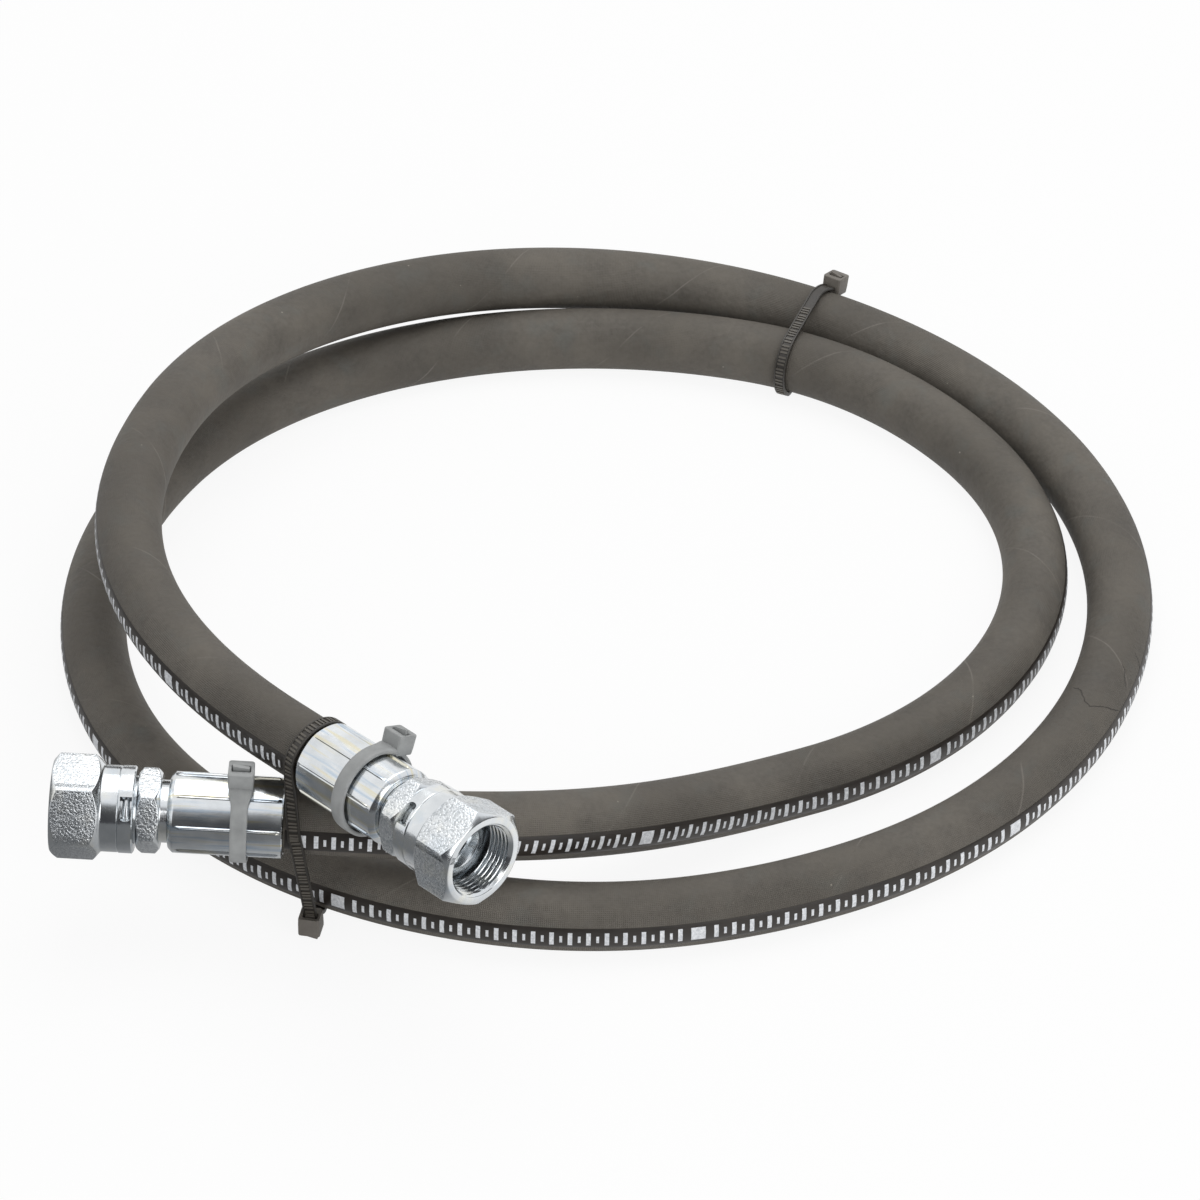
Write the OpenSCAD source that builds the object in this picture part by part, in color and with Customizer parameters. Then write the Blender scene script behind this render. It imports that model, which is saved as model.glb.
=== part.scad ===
// Two-wire hydraulic hose assembly, coiled in two loops, with a swivel nut at each end.
// Units are millimetres. Z points up and the coil rests on Z = 0.
// The origin is the middle of the footprint, at the surface the coil rests on.

/* [Hose] */
// Bore of the inner tube
hose_bore = 12.7; // [12.5:0.1:13]
// Wall of the inner tube
tube_wall = 1.25; // [1:0.05:1.5]
// Thickness of each wire braid
braid_t = 0.5; // [0.3:0.05:0.6]
// Thickness of the rubber layer between the braids
insulation_t = 0.3; // [0.2:0.05:0.5]
// Thickness of the cover
cover_t = 1.1; // [0.9:0.05:2]
// Width of the smooth strip along the outside of the cover
strip_w = 7.5; // [5:0.5:7.5]
// Thickness of the strip
strip_t = 0.2; // [0.1:0.05:0.3]

/* [Coil] */
// Radius of the outer loop's centre line
loop_r = 150; // [140:1:200]
// How far the outer loop swings out on its way under the fittings
swing = 18.5; // [10:0.5:22]
// Gap between the loops where they are tied side by side
loop_gap = 1.5; // [1:0.25:4]
// How much further apart the loops lie at the front
front_spread = 24.5; // [15:0.5:30]
// Height that the outer loop gains on its way to the upper end
climb = 60.5; // [55:0.5:65]
// Steps in one turn of the coil
steps_per_turn = 24; // [18:2:30]
// Sides of the hose
hose_sides = 8; // [8:4:12]

/* [Swivel nut] */
// Thread diameter of the nut
thread_d = 22; // [20:1:24]
// Thread pitch
thread_pitch = 1.5; // [1:0.25:2]
// Number of thread crests
thread_turns = 6; // [4:1:7]
// Width of the nut across its flats
nut_af = 27; // [27:0.5:32]
// Length of the nut's hexagon
nut_hex_len = 14; // [13:0.5:18]
// Diameter of the round skirt behind the hexagon
skirt_d = 25.2; // [24.8:0.1:26.5]
// Length of the skirt
skirt_len = 9.8; // [9.5:0.1:12]
// Diameter of the wire that holds the nut on the tail
wire_d = 2; // [1.5:0.1:2.2]

/* [Hose tail] */
// Width of the tail's hexagon across its flats
tail_af = 22; // [21:0.5:24]
// Length of the tail's hexagon
tail_hex_len = 6.7; // [5:0.1:9]
// Diameter of the neck between the hexagon and the ferrule
neck_d = 18; // [17:0.5:20]
// Length of the neck
neck_len = 2.3; // [1.5:0.1:4]
// Diameter of the tail where the nut turns on it
journal_d = 19.4; // [19:0.1:19.6]
// Diameter of the cone's small end
cone_d = 16.2; // [15.5:0.1:17]
// Length of the cone
cone_len = 7.7; // [7:0.1:9]
// Diameter of the fluid passage
passage_d = 9.5; // [8:0.1:10]
// Thickness of the O-ring on the cone
o_ring_t = 1.5; // [1.2:0.1:1.8]

/* [Ferrule] */
// Wall of the crimped ferrule
ferrule_wall = 1.4; // [1.2:0.1:2.5]
// Length of the ferrule
ferrule_len = 33; // [30:0.5:40]
// Thickness of the lip that grips the tail
lip_t = 3; // [2:0.25:4]
// Number of ridges that the crimping dies leave
crimp_ridges = 8; // [6:1:10]
// Height of each ridge
ridge_h = 0.4; // [0.2:0.1:0.6]

/* [Cable ties] */
// Width of a marker tie's strap
tie_w = 4.8; // [3.6:0.2:6]
// Width of a bundle tie's strap
bundle_w = 3.8; // [3:0.2:5]
// Thickness of the straps
tie_t = 1.2; // [1:0.1:1.6]
// Length of a tie's head along the strap
head_len = 6.5; // [6:0.5:9]
// Height of a tie's head
head_h = 6; // [5:0.5:8]
// Wall of a tie's head beside the strap
head_wall = 1; // [0.8:0.1:1.6]

/* [Clearances] */
// Between the hose and the hard pieces round it
soft_gap = 0.3; // [0.2:0.05:0.4]
// Between the cover and the ferrule round it
ferrule_gap = 0.4; // [0.35:0.05:0.5]
// Radial clearance of the nut on the tail
swivel_gap = 0.15; // [0.1:0.05:0.25]
// Clearance of the wire and the O-ring in their grooves
groove_gap = 0.08; // [0.05:0.01:0.1]
// Gap between the nut and the tail's hexagon
nut_gap = 0.7; // [0.5:0.1:1]

/* [Hidden] */
$fn = 96;

rubber_black = "#5f5b55";
tube_black = "#2b2a29";
strip_black = "#231e1a";
wire_steel = "#a8a49c";
zinc = "#c4c8cc";
tie_grey = "#969898";
tie_black = "#3c3834";

// ---- Hose layers, as radii ----
bore_r = hose_bore / 2;
tube_r = bore_r + tube_wall;
inner_braid_r = tube_r + braid_t;
insulation_r = inner_braid_r + insulation_t;
outer_braid_r = insulation_r + braid_t;
hose_r = outer_braid_r + cover_t;
hose_od = 2 * hose_r;

// ---- How the hose rests ----
// The hose is flattened by a tenth of its diameter where it lies on the surface.
flat_depth = hose_od / 10;
rest_h = hose_r - flat_depth;
// Under a bundle tie the hose lifts by the strap's thickness.
tie_floor = 0.1;
tie_lift = tie_floor + tie_t + soft_gap;
tie_lift_arc = 40;

// ---- Route of the hose, by angle round the coil's centre ----
// The hose leaves end A, makes two turns anticlockwise and comes back to end B on top.
coil_x = 7.8;
coil_y = 22.5;
first_angle = -61.5;
last_angle = 523.5;
swing_angle = 203;
swing_arc = 95;
spread_angle = -87;
spread_arc = 121;
merge_from = 73;
merge_to = 156;
climb_from = 388;
climb_to = 624;
front_tie_angle = 236.3;
back_tie_angle = 66;

// ---- The two ends: where the hose enters its ferrule, and the way it points ----
// They are placed from the spot where the outer loop is tied below them.
end_a_x = -9.82;
end_a_y = -9.03;
end_a_h = 29.5;
heading_a = -1.5;
rise_a = -3;
end_b_x = 2.68;
end_b_y = -11.03;
end_b_h = 52.5;
heading_b = -47;
rise_b = 4;
straight_run = hose_od;
lead_steps = 4;
// Pull of each end of the two lead curves
end_a_pull = 63;
coil_a_pull = 45;
coil_b_pull = 46;
end_b_pull = 94;

// ---- Fitting, along its own axis from the ferrule's hose end to the nut's mouth ----
fit_hex_x = ferrule_len + neck_len;
fit_nut_x = fit_hex_x + tail_hex_len + nut_gap;
nut_len = nut_hex_len + skirt_len;
mouth_x = fit_nut_x + nut_len;
hose_end_x = ferrule_len - lip_t - soft_gap;
stem_end_x = 1.5;
stem_r = bore_r - soft_gap;
ferrule_r = hose_r + ferrule_gap + ferrule_wall;
lip_depth = 1.4;
lip_r = neck_d / 2 - lip_depth;
seat_gap = 0.1;
roll_a = -63;
roll_b = 27;

thread_crest_r = thread_d / 2 - 0.54127 * thread_pitch;
root_gap = 0.05;
thread_root_r = thread_d / 2 + root_gap;
crest_w = thread_pitch / 4;
mouth_chamfer = 1.1;
thread_len = (thread_turns - 1) * thread_pitch + crest_w;
relief_len = 2.5;
nut_bore_r = journal_d / 2 + swivel_gap;
journal_r = journal_d / 2;
// The wire sits half in the tail and half in the nut.
wire_ring_r = journal_r + swivel_gap / 2;
wire_inset = 2.1;
wire_x = fit_nut_x + wire_inset;
groove_r = wire_d / 2 + groove_gap;
wire_arc = 335;
slot_w = 3.4;
slot_len = 9;
// Turn of each nut's slot from a flat of its hexagon
slot_turn = 17;

cone_depth = 9;
cone_end_x = mouth_x - cone_depth;
cone_start_x = cone_end_x - cone_len;
o_ring_inset = 3.2;
o_ring_x = cone_start_x + o_ring_inset;
o_ring_seat = (journal_r + cone_d / 2) / 2 - o_ring_t / 2;

// ---- Small functions ----
function unit(v) = v / norm(v);
function heading(a, rise) = [cos(rise) * cos(a), cos(rise) * sin(a), sin(rise)];
// Smooth step from 0 at a to 1 at b
function step01(t, a, b) = let (u = min(max((t - a) / (b - a), 0), 1)) u * u * (3 - 2 * u);
// Smooth hump, 1 at the middle and 0 beyond the arc
function hump(t, middle, arc) = (1 + cos(180 * min(abs(t - middle) / arc, 1))) / 2;

// ---- The coil, by angle ----
function outer_r(a) = loop_r + swing * hump(a, swing_angle, swing_arc);
function inner_offset(a) =
    (hose_od + loop_gap + front_spread * hump(a, spread_angle, spread_arc))
    * (1 - step01(a, merge_from, merge_to));
function lift_at(a) =
    tie_lift * (hump(a, front_tie_angle, tie_lift_arc) + hump(a, back_tie_angle, tie_lift_arc));
function coil_h(a) = rest_h + climb * step01(a, climb_from, climb_to) + lift_at(a);
function coil_point(a) =
    let (r = outer_r(a) - inner_offset(a))
    [r * cos(a), r * sin(a), coil_h(a)];
function coil_way(a) = unit(coil_point(a + 0.1) - coil_point(a - 0.1));

// ---- The leads between the coil and the two ends ----
tied_spot = outer_r(front_tie_angle) * [cos(front_tie_angle), sin(front_tie_angle), 0];
end_a = tied_spot + [end_a_x, end_a_y, end_a_h + rest_h];
end_b = tied_spot + [end_b_x, end_b_y, end_b_h + rest_h];
function curve(p, t) =
    pow(1 - t, 3) * p[0] + 3 * pow(1 - t, 2) * t * p[1] + 3 * (1 - t) * t * t * p[2] + pow(t, 3) * p[3];
way_a = heading(heading_a, rise_a);
way_b = heading(heading_b, rise_b);
lead_a = [end_a + straight_run * way_a,
          end_a + (straight_run + end_a_pull) * way_a,
          coil_point(first_angle) - coil_a_pull * coil_way(first_angle),
          coil_point(first_angle)];
lead_b = [coil_point(last_angle),
          coil_point(last_angle) + coil_b_pull * coil_way(last_angle),
          end_b - (straight_run + end_b_pull) * way_b,
          end_b - straight_run * way_b];
coil_steps = round((last_angle - first_angle) / 360 * steps_per_turn);
coil_step = (last_angle - first_angle) / coil_steps;

ROUTE = concat(
    [end_a - hose_end_x * way_a, end_a],
    [for (i = [0 : lead_steps - 1]) curve(lead_a, i / lead_steps)],
    [for (i = [0 : coil_steps]) coil_point(first_angle + i * coil_step)],
    [for (i = [1 : lead_steps]) curve(lead_b, i / lead_steps)],
    [end_b, end_b + hose_end_x * way_b]);
LAST = len(ROUTE) - 1;
COIL_START = 2 + lead_steps;
// Height of what the hose rests on at each station
REST = concat([for (i = [1 : COIL_START]) 0],
              [for (i = [0 : coil_steps]) lift_at(first_angle + i * coil_step)],
              [for (i = [1 : lead_steps + 2]) 0]);
// Centre of the hose at an angle of the coil, on the straight between two stations
function chord_of(a) = COIL_START + floor((a - first_angle) / coil_step);
function on_hose(a) =
    let (i = chord_of(a), u = (a - first_angle) / coil_step - floor((a - first_angle) / coil_step))
    ROUTE[i] + (ROUTE[i + 1] - ROUTE[i]) * u;
function along_hose(a) = unit(ROUTE[chord_of(a) + 1] - ROUTE[chord_of(a)]);

// Direction of travel at each station, with the outward and upward directions square to it
function way_at(i) =
    i <= 2 ? way_a : i >= LAST - 2 ? way_b
    : unit(unit(ROUTE[i + 1] - ROUTE[i]) + unit(ROUTE[i] - ROUTE[i - 1]));
function out_at(i) = unit(cross(way_at(i), [0, 0, 1]));
function up_at(i) = cross(out_at(i), way_at(i));

// The wall is squeezed where the hose rests, so that its layers stay inside each other.
wall = hose_r - bore_r;
function least_h(r) = max(0, hose_r - r) * (wall - flat_depth) / wall;
function around(i, r, a) =
    let (p = ROUTE[i] + r * (cos(a) * out_at(i) + sin(a) * up_at(i)))
    [p.x, p.y, max(p.z, REST[i] + least_h(r))];
half_side = 180 / hose_sides;
function ring(i, r) = [for (k = [0 : hose_sides - 1]) around(i, r, half_side + k * 2 * half_side)];

// Least gap of the hose to itself, between stations more than a quarter turn apart
function between(i, parts) = [for (k = [0 : parts - 1]) ROUTE[i] + (ROUTE[i + 1] - ROUTE[i]) * k / parts];
FINE = [for (i = [1 : LAST - 2]) each between(i, 5)];
far_apart = 60;
least_gap = min([for (i = [0 : len(FINE) - 1 - far_apart])
                 for (j = [i + far_apart : len(FINE) - 1]) norm(FINE[i] - FINE[j])]) - hose_od;
free_length = norm(ROUTE[1] - ROUTE[2]) + norm(ROUTE[LAST - 1] - ROUTE[LAST - 2])
    + arc_length(2, LAST - 2);
function arc_length(i, j) = i == j ? 0 : norm(ROUTE[i + 1] - ROUTE[i]) + arc_length(i + 1, j);
echo(least_gap = least_gap, free_length = free_length, stations = LAST + 1);

// ---- Swept solids ----
// One unbroken tube between two radii, along stations first to last
module swept_wall(inside, outside) {
    n = hose_sides;
    rings = LAST + 1;
    points = concat([for (i = [0 : LAST]) each ring(i, outside)],
                    [for (i = [0 : LAST]) each ring(i, inside)]);
    function at(side, i, k) = (side * rings + i) * n + k % n;
    faces = concat(
        [for (i = [0 : LAST - 1]) for (k = [0 : n - 1]) each [
            [at(0, i, k), at(0, i, k + 1), at(0, i + 1, k + 1)],
            [at(0, i, k), at(0, i + 1, k + 1), at(0, i + 1, k)],
            [at(1, i, k), at(1, i + 1, k + 1), at(1, i, k + 1)],
            [at(1, i, k), at(1, i + 1, k), at(1, i + 1, k + 1)]]],
        [for (k = [0 : n - 1]) each [
            [at(0, 0, k), at(1, 0, k + 1), at(0, 0, k + 1)],
            [at(0, 0, k), at(1, 0, k), at(1, 0, k + 1)],
            [at(0, LAST, k), at(0, LAST, k + 1), at(1, LAST, k + 1)],
            [at(0, LAST, k), at(1, LAST, k + 1), at(1, LAST, k)]]]);
    polyhedron(points, faces, convexity = 10);
}

// The strip lies flat against the outward side of the cover, between the two ferrules.
strip_end_gap = 0.5;
strip_lift = 0.1;
strip_in = hose_r * cos(half_side) + strip_lift;
module swept_strip() {
    rings = LAST - 1;
    function shift(i) = i == 1 ? strip_end_gap * way_a : i == LAST - 1 ? -strip_end_gap * way_b : [0, 0, 0];
    function corner(i, x, y) = ROUTE[i] + shift(i) + x * out_at(i) + y * up_at(i);
    points = [for (i = [1 : LAST - 1]) each [
        corner(i, strip_in, -strip_w / 2),
        corner(i, strip_in + strip_t, -strip_w / 2),
        corner(i, strip_in + strip_t, strip_w / 2),
        corner(i, strip_in, strip_w / 2)]];
    function at(i, k) = i * 4 + k % 4;
    faces = concat(
        [for (i = [0 : rings - 2]) for (k = [0 : 3]) each [
            [at(i, k), at(i, k + 1), at(i + 1, k + 1)],
            [at(i, k), at(i + 1, k + 1), at(i + 1, k)]]],
        [[at(0, 0), at(0, 2), at(0, 1)], [at(0, 0), at(0, 3), at(0, 2)],
         [at(rings - 1, 0), at(rings - 1, 1), at(rings - 1, 2)],
         [at(rings - 1, 0), at(rings - 1, 2), at(rings - 1, 3)]]);
    polyhedron(points, faces, convexity = 10);
}

// ---- Placing ----
module in_coil() {
    translate([coil_x, coil_y, 0]) children();
}

// X runs along the fitting towards the nut's mouth.
module at_end_a() {
    in_coil() translate(end_a) rotate([0, rise_a, heading_a + 180]) children();
}

module at_end_b() {
    in_coil() translate(end_b) rotate([0, -rise_b, heading_b]) children();
}

module along_x() {
    rotate([90, 0, 90]) children();
}

// Turns a profile drawn as [distance along the axis, radius] about the X axis
module turned(profile) {
    along_x() rotate_extrude() polygon([for (p = profile) [p[1], p[0]]]);
}

// A hexagon whose corners are chamfered by a cone at each end, that starts this much inside its flats
hex_chamfer = 0.8;
tail_hex_inside = 0.2;
nut_hex_inside = 0.4;
module hexagon(af, from, to, inside) {
    peak = af / 2 / cos(30) + 1;
    small = af / 2 - inside;
    intersection() {
        translate([from, 0, 0]) along_x() cylinder(h = to - from, d = af / cos(30), $fn = 6);
        turned([[from, 0], [from, small], [from + hex_chamfer * (peak - small), peak],
                [to - hex_chamfer * (peak - small), peak], [to, small], [to, 0]]);
    }
}

// ---- Fitting pieces, each about the X axis ----
// Place of the first ridge, as a share of the angle between ridges
first_ridge = 0.4;
module ferrule() {
    r = ferrule_r;
    bore = hose_r + ferrule_gap;
    bevel = 1.6;
    edge = 0.5;
    ridge_w = 0.9;
    ridge_root = ferrule_wall / 2;
    color(zinc) {
        turned([[0, bore], [0, r - edge], [edge, r], [ferrule_len - bevel, r],
                [ferrule_len, r - bevel], [ferrule_len, lip_r], [ferrule_len - lip_t, lip_r],
                [ferrule_len - lip_t, bore]]);
        for (k = [0 : crimp_ridges - 1])
            rotate([(k + first_ridge) * 360 / crimp_ridges, 0, 0])
                translate([2 * edge, -ridge_w / 2, r - ridge_root])
                    cube([ferrule_len - bevel - 3 * edge, ridge_w, ridge_root + ridge_h]);
    }
}

module hose_tail(roll) {
    neck_r = neck_d / 2;
    lip_seat = lip_r - seat_gap;
    pass_r = passage_d / 2;
    stem_chamfer = 0.8;
    barb = 0.35;
    barb_len = 2;
    barb_pitch = 4.5;
    barbs = 5;
    seat_x = ferrule_len - lip_t - 2 * seat_gap;
    neck_x = ferrule_len + seat_gap;
    hex_side = fit_hex_x + seat_gap;
    nose_wall = 1.7;
    nose_bore_r = cone_d / 2 - nose_wall;
    nose_taper = 3;
    color(zinc) difference() {
        union() {
            turned([[stem_end_x, 0], [stem_end_x, stem_r - stem_chamfer],
                    [stem_end_x + 2 * stem_chamfer, stem_r], [seat_x, stem_r], [seat_x, lip_seat],
                    [neck_x, lip_seat], [neck_x, neck_r], [hex_side, neck_r], [hex_side, journal_r],
                    [cone_start_x, journal_r], [cone_end_x, cone_d / 2], [cone_end_x, 0]]);
            rotate([roll, 0, 0]) hexagon(tail_af, fit_hex_x, fit_hex_x + tail_hex_len, tail_hex_inside);
        }
        turned([[stem_end_x - 1, 0], [stem_end_x - 1, pass_r], [cone_end_x - nose_taper, pass_r],
                [cone_end_x + nose_taper, 2 * nose_bore_r - pass_r], [cone_end_x + nose_taper, 0]]);
        for (k = [0 : barbs - 1])
            translate([stem_end_x + 2 * barb_len + k * barb_pitch, 0, 0])
                turned([[0, stem_r + barb], [0, stem_r - barb], [2 * barb_len, stem_r + barb]]);
        wire_groove();
        translate([o_ring_x, 0, 0]) along_x() rotate_extrude()
            translate([o_ring_seat, -o_ring_t / 2 - groove_gap])
                square([3 * o_ring_t, o_ring_t + 2 * groove_gap]);
    }
}

module wire_groove() {
    translate([wire_x, 0, 0]) along_x() rotate_extrude()
        translate([wire_ring_r, 0]) circle(groove_r, $fn = 32);
}

module o_ring() {
    color(tube_black) translate([o_ring_x, 0, 0]) along_x() rotate_extrude()
        translate([o_ring_seat + groove_gap + o_ring_t / 2, 0]) circle(d = o_ring_t, $fn = 32);
}

module retaining_wire() {
    color(wire_steel) translate([wire_x, 0, 0]) along_x()
        rotate_extrude(angle = wire_arc) translate([wire_ring_r, 0]) circle(d = wire_d, $fn = 32);
}

module swivel_nut(roll) {
    hex_start = fit_nut_x + skirt_len;
    thread_end = mouth_x - mouth_chamfer - thread_len;
    groove_side = (thread_pitch - crest_w) / 2;
    root_w = 0.2;
    over = 0.01;
    mouth_r = thread_root_r + root_w;
    relief_r = thread_root_r + root_w;
    skirt_chamfer = 0.6;
    bore_start = thread_end - relief_len;
    color(zinc) difference() {
        union() {
            rotate([roll, 0, 0]) hexagon(nut_af, hex_start, mouth_x, nut_hex_inside);
            turned([[fit_nut_x, 0], [fit_nut_x, skirt_d / 2 - skirt_chamfer],
                    [fit_nut_x + skirt_chamfer, skirt_d / 2], [hex_start + skirt_chamfer, skirt_d / 2],
                    [hex_start + skirt_chamfer, 0]]);
        }
        // mouth chamfer and thread core
        turned([[mouth_x + 1, 0], [mouth_x + 1, mouth_r], [mouth_x, mouth_r],
                [mouth_x - mouth_chamfer, thread_crest_r], [thread_end, thread_crest_r],
                [thread_end, relief_r], [bore_start, relief_r],
                [bore_start, nut_bore_r], [fit_nut_x - 1, nut_bore_r], [fit_nut_x - 1, 0]]);
        // thread grooves between the crests
        for (k = [0 : thread_turns - 2])
            translate([mouth_x - mouth_chamfer - crest_w - k * thread_pitch, 0, 0])
                turned([[0, thread_crest_r - over], [-groove_side + root_w / 2, thread_root_r],
                        [-groove_side - root_w / 2, thread_root_r],
                        [-2 * groove_side, thread_crest_r - over]]);
        wire_groove();
        // slot through which the wire is fed
        rotate([roll + slot_turn, 0, 0]) translate([wire_x - slot_w / 2, -slot_len / 2, nut_bore_r - 1])
            cube([slot_w, slot_len, skirt_d / 2]);
    }
}

// ---- Cable ties ----
// A head that stands on the strap, X along the strap and Z away from what it holds.
// Its window opens upwards, and the strap's cut end stands out of it.
head_sink = 0.5;
window_floor = 1;
window_play = 0.6;
module tie_head(strap_w, stub_out) {
    window_w = strap_w + window_play;
    window_len = tie_t + 2 * window_play;
    head_w = window_w + 2 * head_wall;
    difference() {
        translate([-head_len / 2, -head_w / 2, 0]) cube([head_len, head_w, head_h]);
        translate([-window_len / 2, -window_w / 2, window_floor]) cube([window_len, window_w, head_h]);
    }
    translate([-tie_t / 2, -strap_w / 2, window_floor / 2])
        cube([tie_t, strap_w, head_h - window_floor / 2 + stub_out]);
}

marker_gap = 0.1;
marker_stub = 0.8;
// Distance from the ferrule's hose end, and clock angle of the head
marker_a_x = 12.6;
marker_a_clock = -5;
marker_b_x = 19.9;
marker_b_clock = -48;
module marker_tie(at_x, clock) {
    r = ferrule_r + ridge_h + marker_gap;
    color(tie_grey) {
        translate([at_x - tie_w / 2, 0, 0]) along_x() difference() {
            cylinder(h = tie_w, r = r + tie_t);
            translate([0, 0, -1]) cylinder(h = tie_w + 2, r = r);
        }
        rotate([clock, 0, 0]) translate([at_x, 0, r + tie_t - head_sink])
            rotate([0, 0, 90]) tie_head(tie_w, marker_stub);
    }
}

// ---- Straps that bind two or three runs of hose ----
// A stop on a strap is [middle, way along the hose, direction away from the hose].
strap_r = hose_r + strip_t + soft_gap + tie_t / 2;
strap_stops = 8;
span_stops = 3;
function outward(w) = unit(cross(w, [0, 0, 1]));
// Elevation at which a strap that runs along d touches a hose whose outward direction is o
function touch(d, o) = atan2(d * o, -d.z);
function stop(c, w, a, r = strap_r) =
    let (n = cos(a) * outward(w) + sin(a) * [0, 0, 1], p = c + r * n, low = tie_floor + tie_t / 2)
    p.z < low ? [[p.x, p.y, low], w, [0, 0, -1]] : [p, w, n];
function wrap(c, w, from, to, r = strap_r) =
    [for (k = [0 : strap_stops]) stop(c, w, from + (to - from) * k / strap_stops, r)];
function span(s, t) =
    [for (k = [1 : span_stops - 1]) let (u = k / span_stops)
        [s[0] + (t[0] - s[0]) * u, unit(s[1] + (t[1] - s[1]) * u), unit(s[2] + (t[2] - s[2]) * u)]];
function closed(wraps) =
    [for (i = [0 : len(wraps) - 1]) let (w = wraps[i], next = wraps[(i + 1) % len(wraps)])
        each concat(w, span(w[len(w) - 1], next[0]))];

module strap(stops) {
    n = len(stops);
    function corner(s, x, y) = s[0] + x * s[1] + y * s[2];
    points = [for (s = stops) each [
        corner(s, -bundle_w / 2, -tie_t / 2), corner(s, bundle_w / 2, -tie_t / 2),
        corner(s, bundle_w / 2, tie_t / 2), corner(s, -bundle_w / 2, tie_t / 2)]];
    function at(i, k) = (i % n) * 4 + k % 4;
    faces = [for (i = [0 : n - 1]) for (k = [0 : 3]) each [
        [at(i, k), at(i + 1, k + 1), at(i, k + 1)],
        [at(i, k), at(i + 1, k), at(i + 1, k + 1)]]];
    polyhedron(points, faces, convexity = 6);
}

// Turns a head so that its strap's width lies along y and its window opens along z
module turned_to(p, y, z) {
    x = cross(y, z);
    multmatrix([[x.x, y.x, z.x, p.x], [x.y, y.y, z.y, p.y], [x.z, y.z, z.z, p.z], [0, 0, 0, 1]]) children();
}

// Binds the two ends to the outer loop that rests below them
ferrule_to_strap = 3.4;
// The head stands in front of the outer loop, and its strap's cut end points down.
front_stub = 2.6;
front_head_top = tie_floor + front_stub + head_h;
head_gap = 3;
// Elevation at which the strap from the head meets the outer loop
front_meet = -50;
// The strap crosses the outer loop aslant
front_slant = 18;
module front_bundle() {
    a = end_a + ferrule_to_strap * way_a;
    b = end_b - ferrule_to_strap * way_b;
    o = on_hose(front_tie_angle);
    hose_way = along_hose(front_tie_angle);
    way_o = heading(atan2(hose_way.y, hose_way.x) + front_slant, 0);
    r_o = strap_r / cos(front_slant);
    p = o + (r_o + tie_t / 2 - head_sink + head_len / 2 + head_gap) * outward(way_o);
    head = [p.x, p.y, front_head_top];
    bend = head - [0, 0, head_h / 3];
    up_side = touch(b - o, outward(way_b));
    wraps = [wrap(b, way_b, up_side < 0 ? up_side + 360 : up_side, touch(a - b, outward(way_b))),
             wrap(a, way_a, touch(a - b, outward(way_a)), touch(bend - a, outward(way_a))),
             [[bend, way_o, unit(outward(way_o) - [0, 0, 1])]],
             wrap(o, way_o, front_meet, touch(b - o, outward(way_o)) - 360, r_o)];
    color(tie_black) in_coil() {
        strap(closed(wraps));
        turned_to(head, way_o, [0, 0, -1]) tie_head(bundle_w, front_stub);
    }
}

// Binds the two loops side by side
back_head_elevation = 29;
back_slant = -10;
back_stub = 0.4;
module back_bundle() {
    low = on_hose(back_tie_angle);
    high = on_hose(back_tie_angle + 360);
    way_low = along_hose(back_tie_angle);
    hose_way = along_hose(back_tie_angle + 360);
    way_high = heading(atan2(hose_way.y, hose_way.x) + back_slant, 0);
    r_high = strap_r / cos(back_slant);
    head = stop(high, way_high, back_head_elevation, r_high);
    up_from = touch(high - low, outward(way_high));
    down_to = touch(high - low, outward(way_low)) - 360;
    wraps = [wrap(high, way_high, up_from, touch(low - high, outward(way_high)), r_high),
             wrap(low, way_low, touch(low - high, outward(way_low)), down_to)];
    color(tie_black) in_coil() {
        strap(closed(wraps));
        turned_to(head[0] + (tie_t / 2 - head_sink) * head[2], head[1], head[2])
            tie_head(bundle_w, back_stub);
    }
}

// ---- Nodes ----
module cover() {
    color(rubber_black) in_coil() swept_wall(outer_braid_r, hose_r);
}

module outer_braid() {
    color(wire_steel) in_coil() swept_wall(insulation_r, outer_braid_r);
}

module insulation_layer() {
    color(tube_black) in_coil() swept_wall(inner_braid_r, insulation_r);
}

module inner_braid() {
    color(wire_steel) in_coil() swept_wall(tube_r, inner_braid_r);
}

module inner_tube() {
    color(tube_black) in_coil() swept_wall(bore_r / cos(half_side), tube_r);
}

module layline_strip() {
    color(strip_black) in_coil() swept_strip();
}

cover();
outer_braid();
insulation_layer();
inner_braid();
inner_tube();
layline_strip();
at_end_a() ferrule();  // ferrule_a
at_end_b() ferrule();  // ferrule_b
at_end_a() hose_tail(roll_a);  // hose_tail_a
at_end_b() hose_tail(roll_b);  // hose_tail_b
at_end_a() swivel_nut(roll_a);  // swivel_nut_a
at_end_b() swivel_nut(roll_b);  // swivel_nut_b
at_end_a() retaining_wire();  // retaining_wire_a
at_end_b() retaining_wire();  // retaining_wire_b
at_end_a() o_ring();  // o_ring_a
at_end_b() o_ring();  // o_ring_b
at_end_a() marker_tie(marker_a_x, marker_a_clock);  // marker_tie_a
at_end_b() marker_tie(marker_b_x, marker_b_clock);  // marker_tie_b
front_bundle();  // front_bundle_tie
back_bundle();  // back_bundle_tie
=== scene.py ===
import math
from functools import reduce

import bmesh
import bpy
import numpy as np
from mathutils import Matrix, Vector


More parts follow.
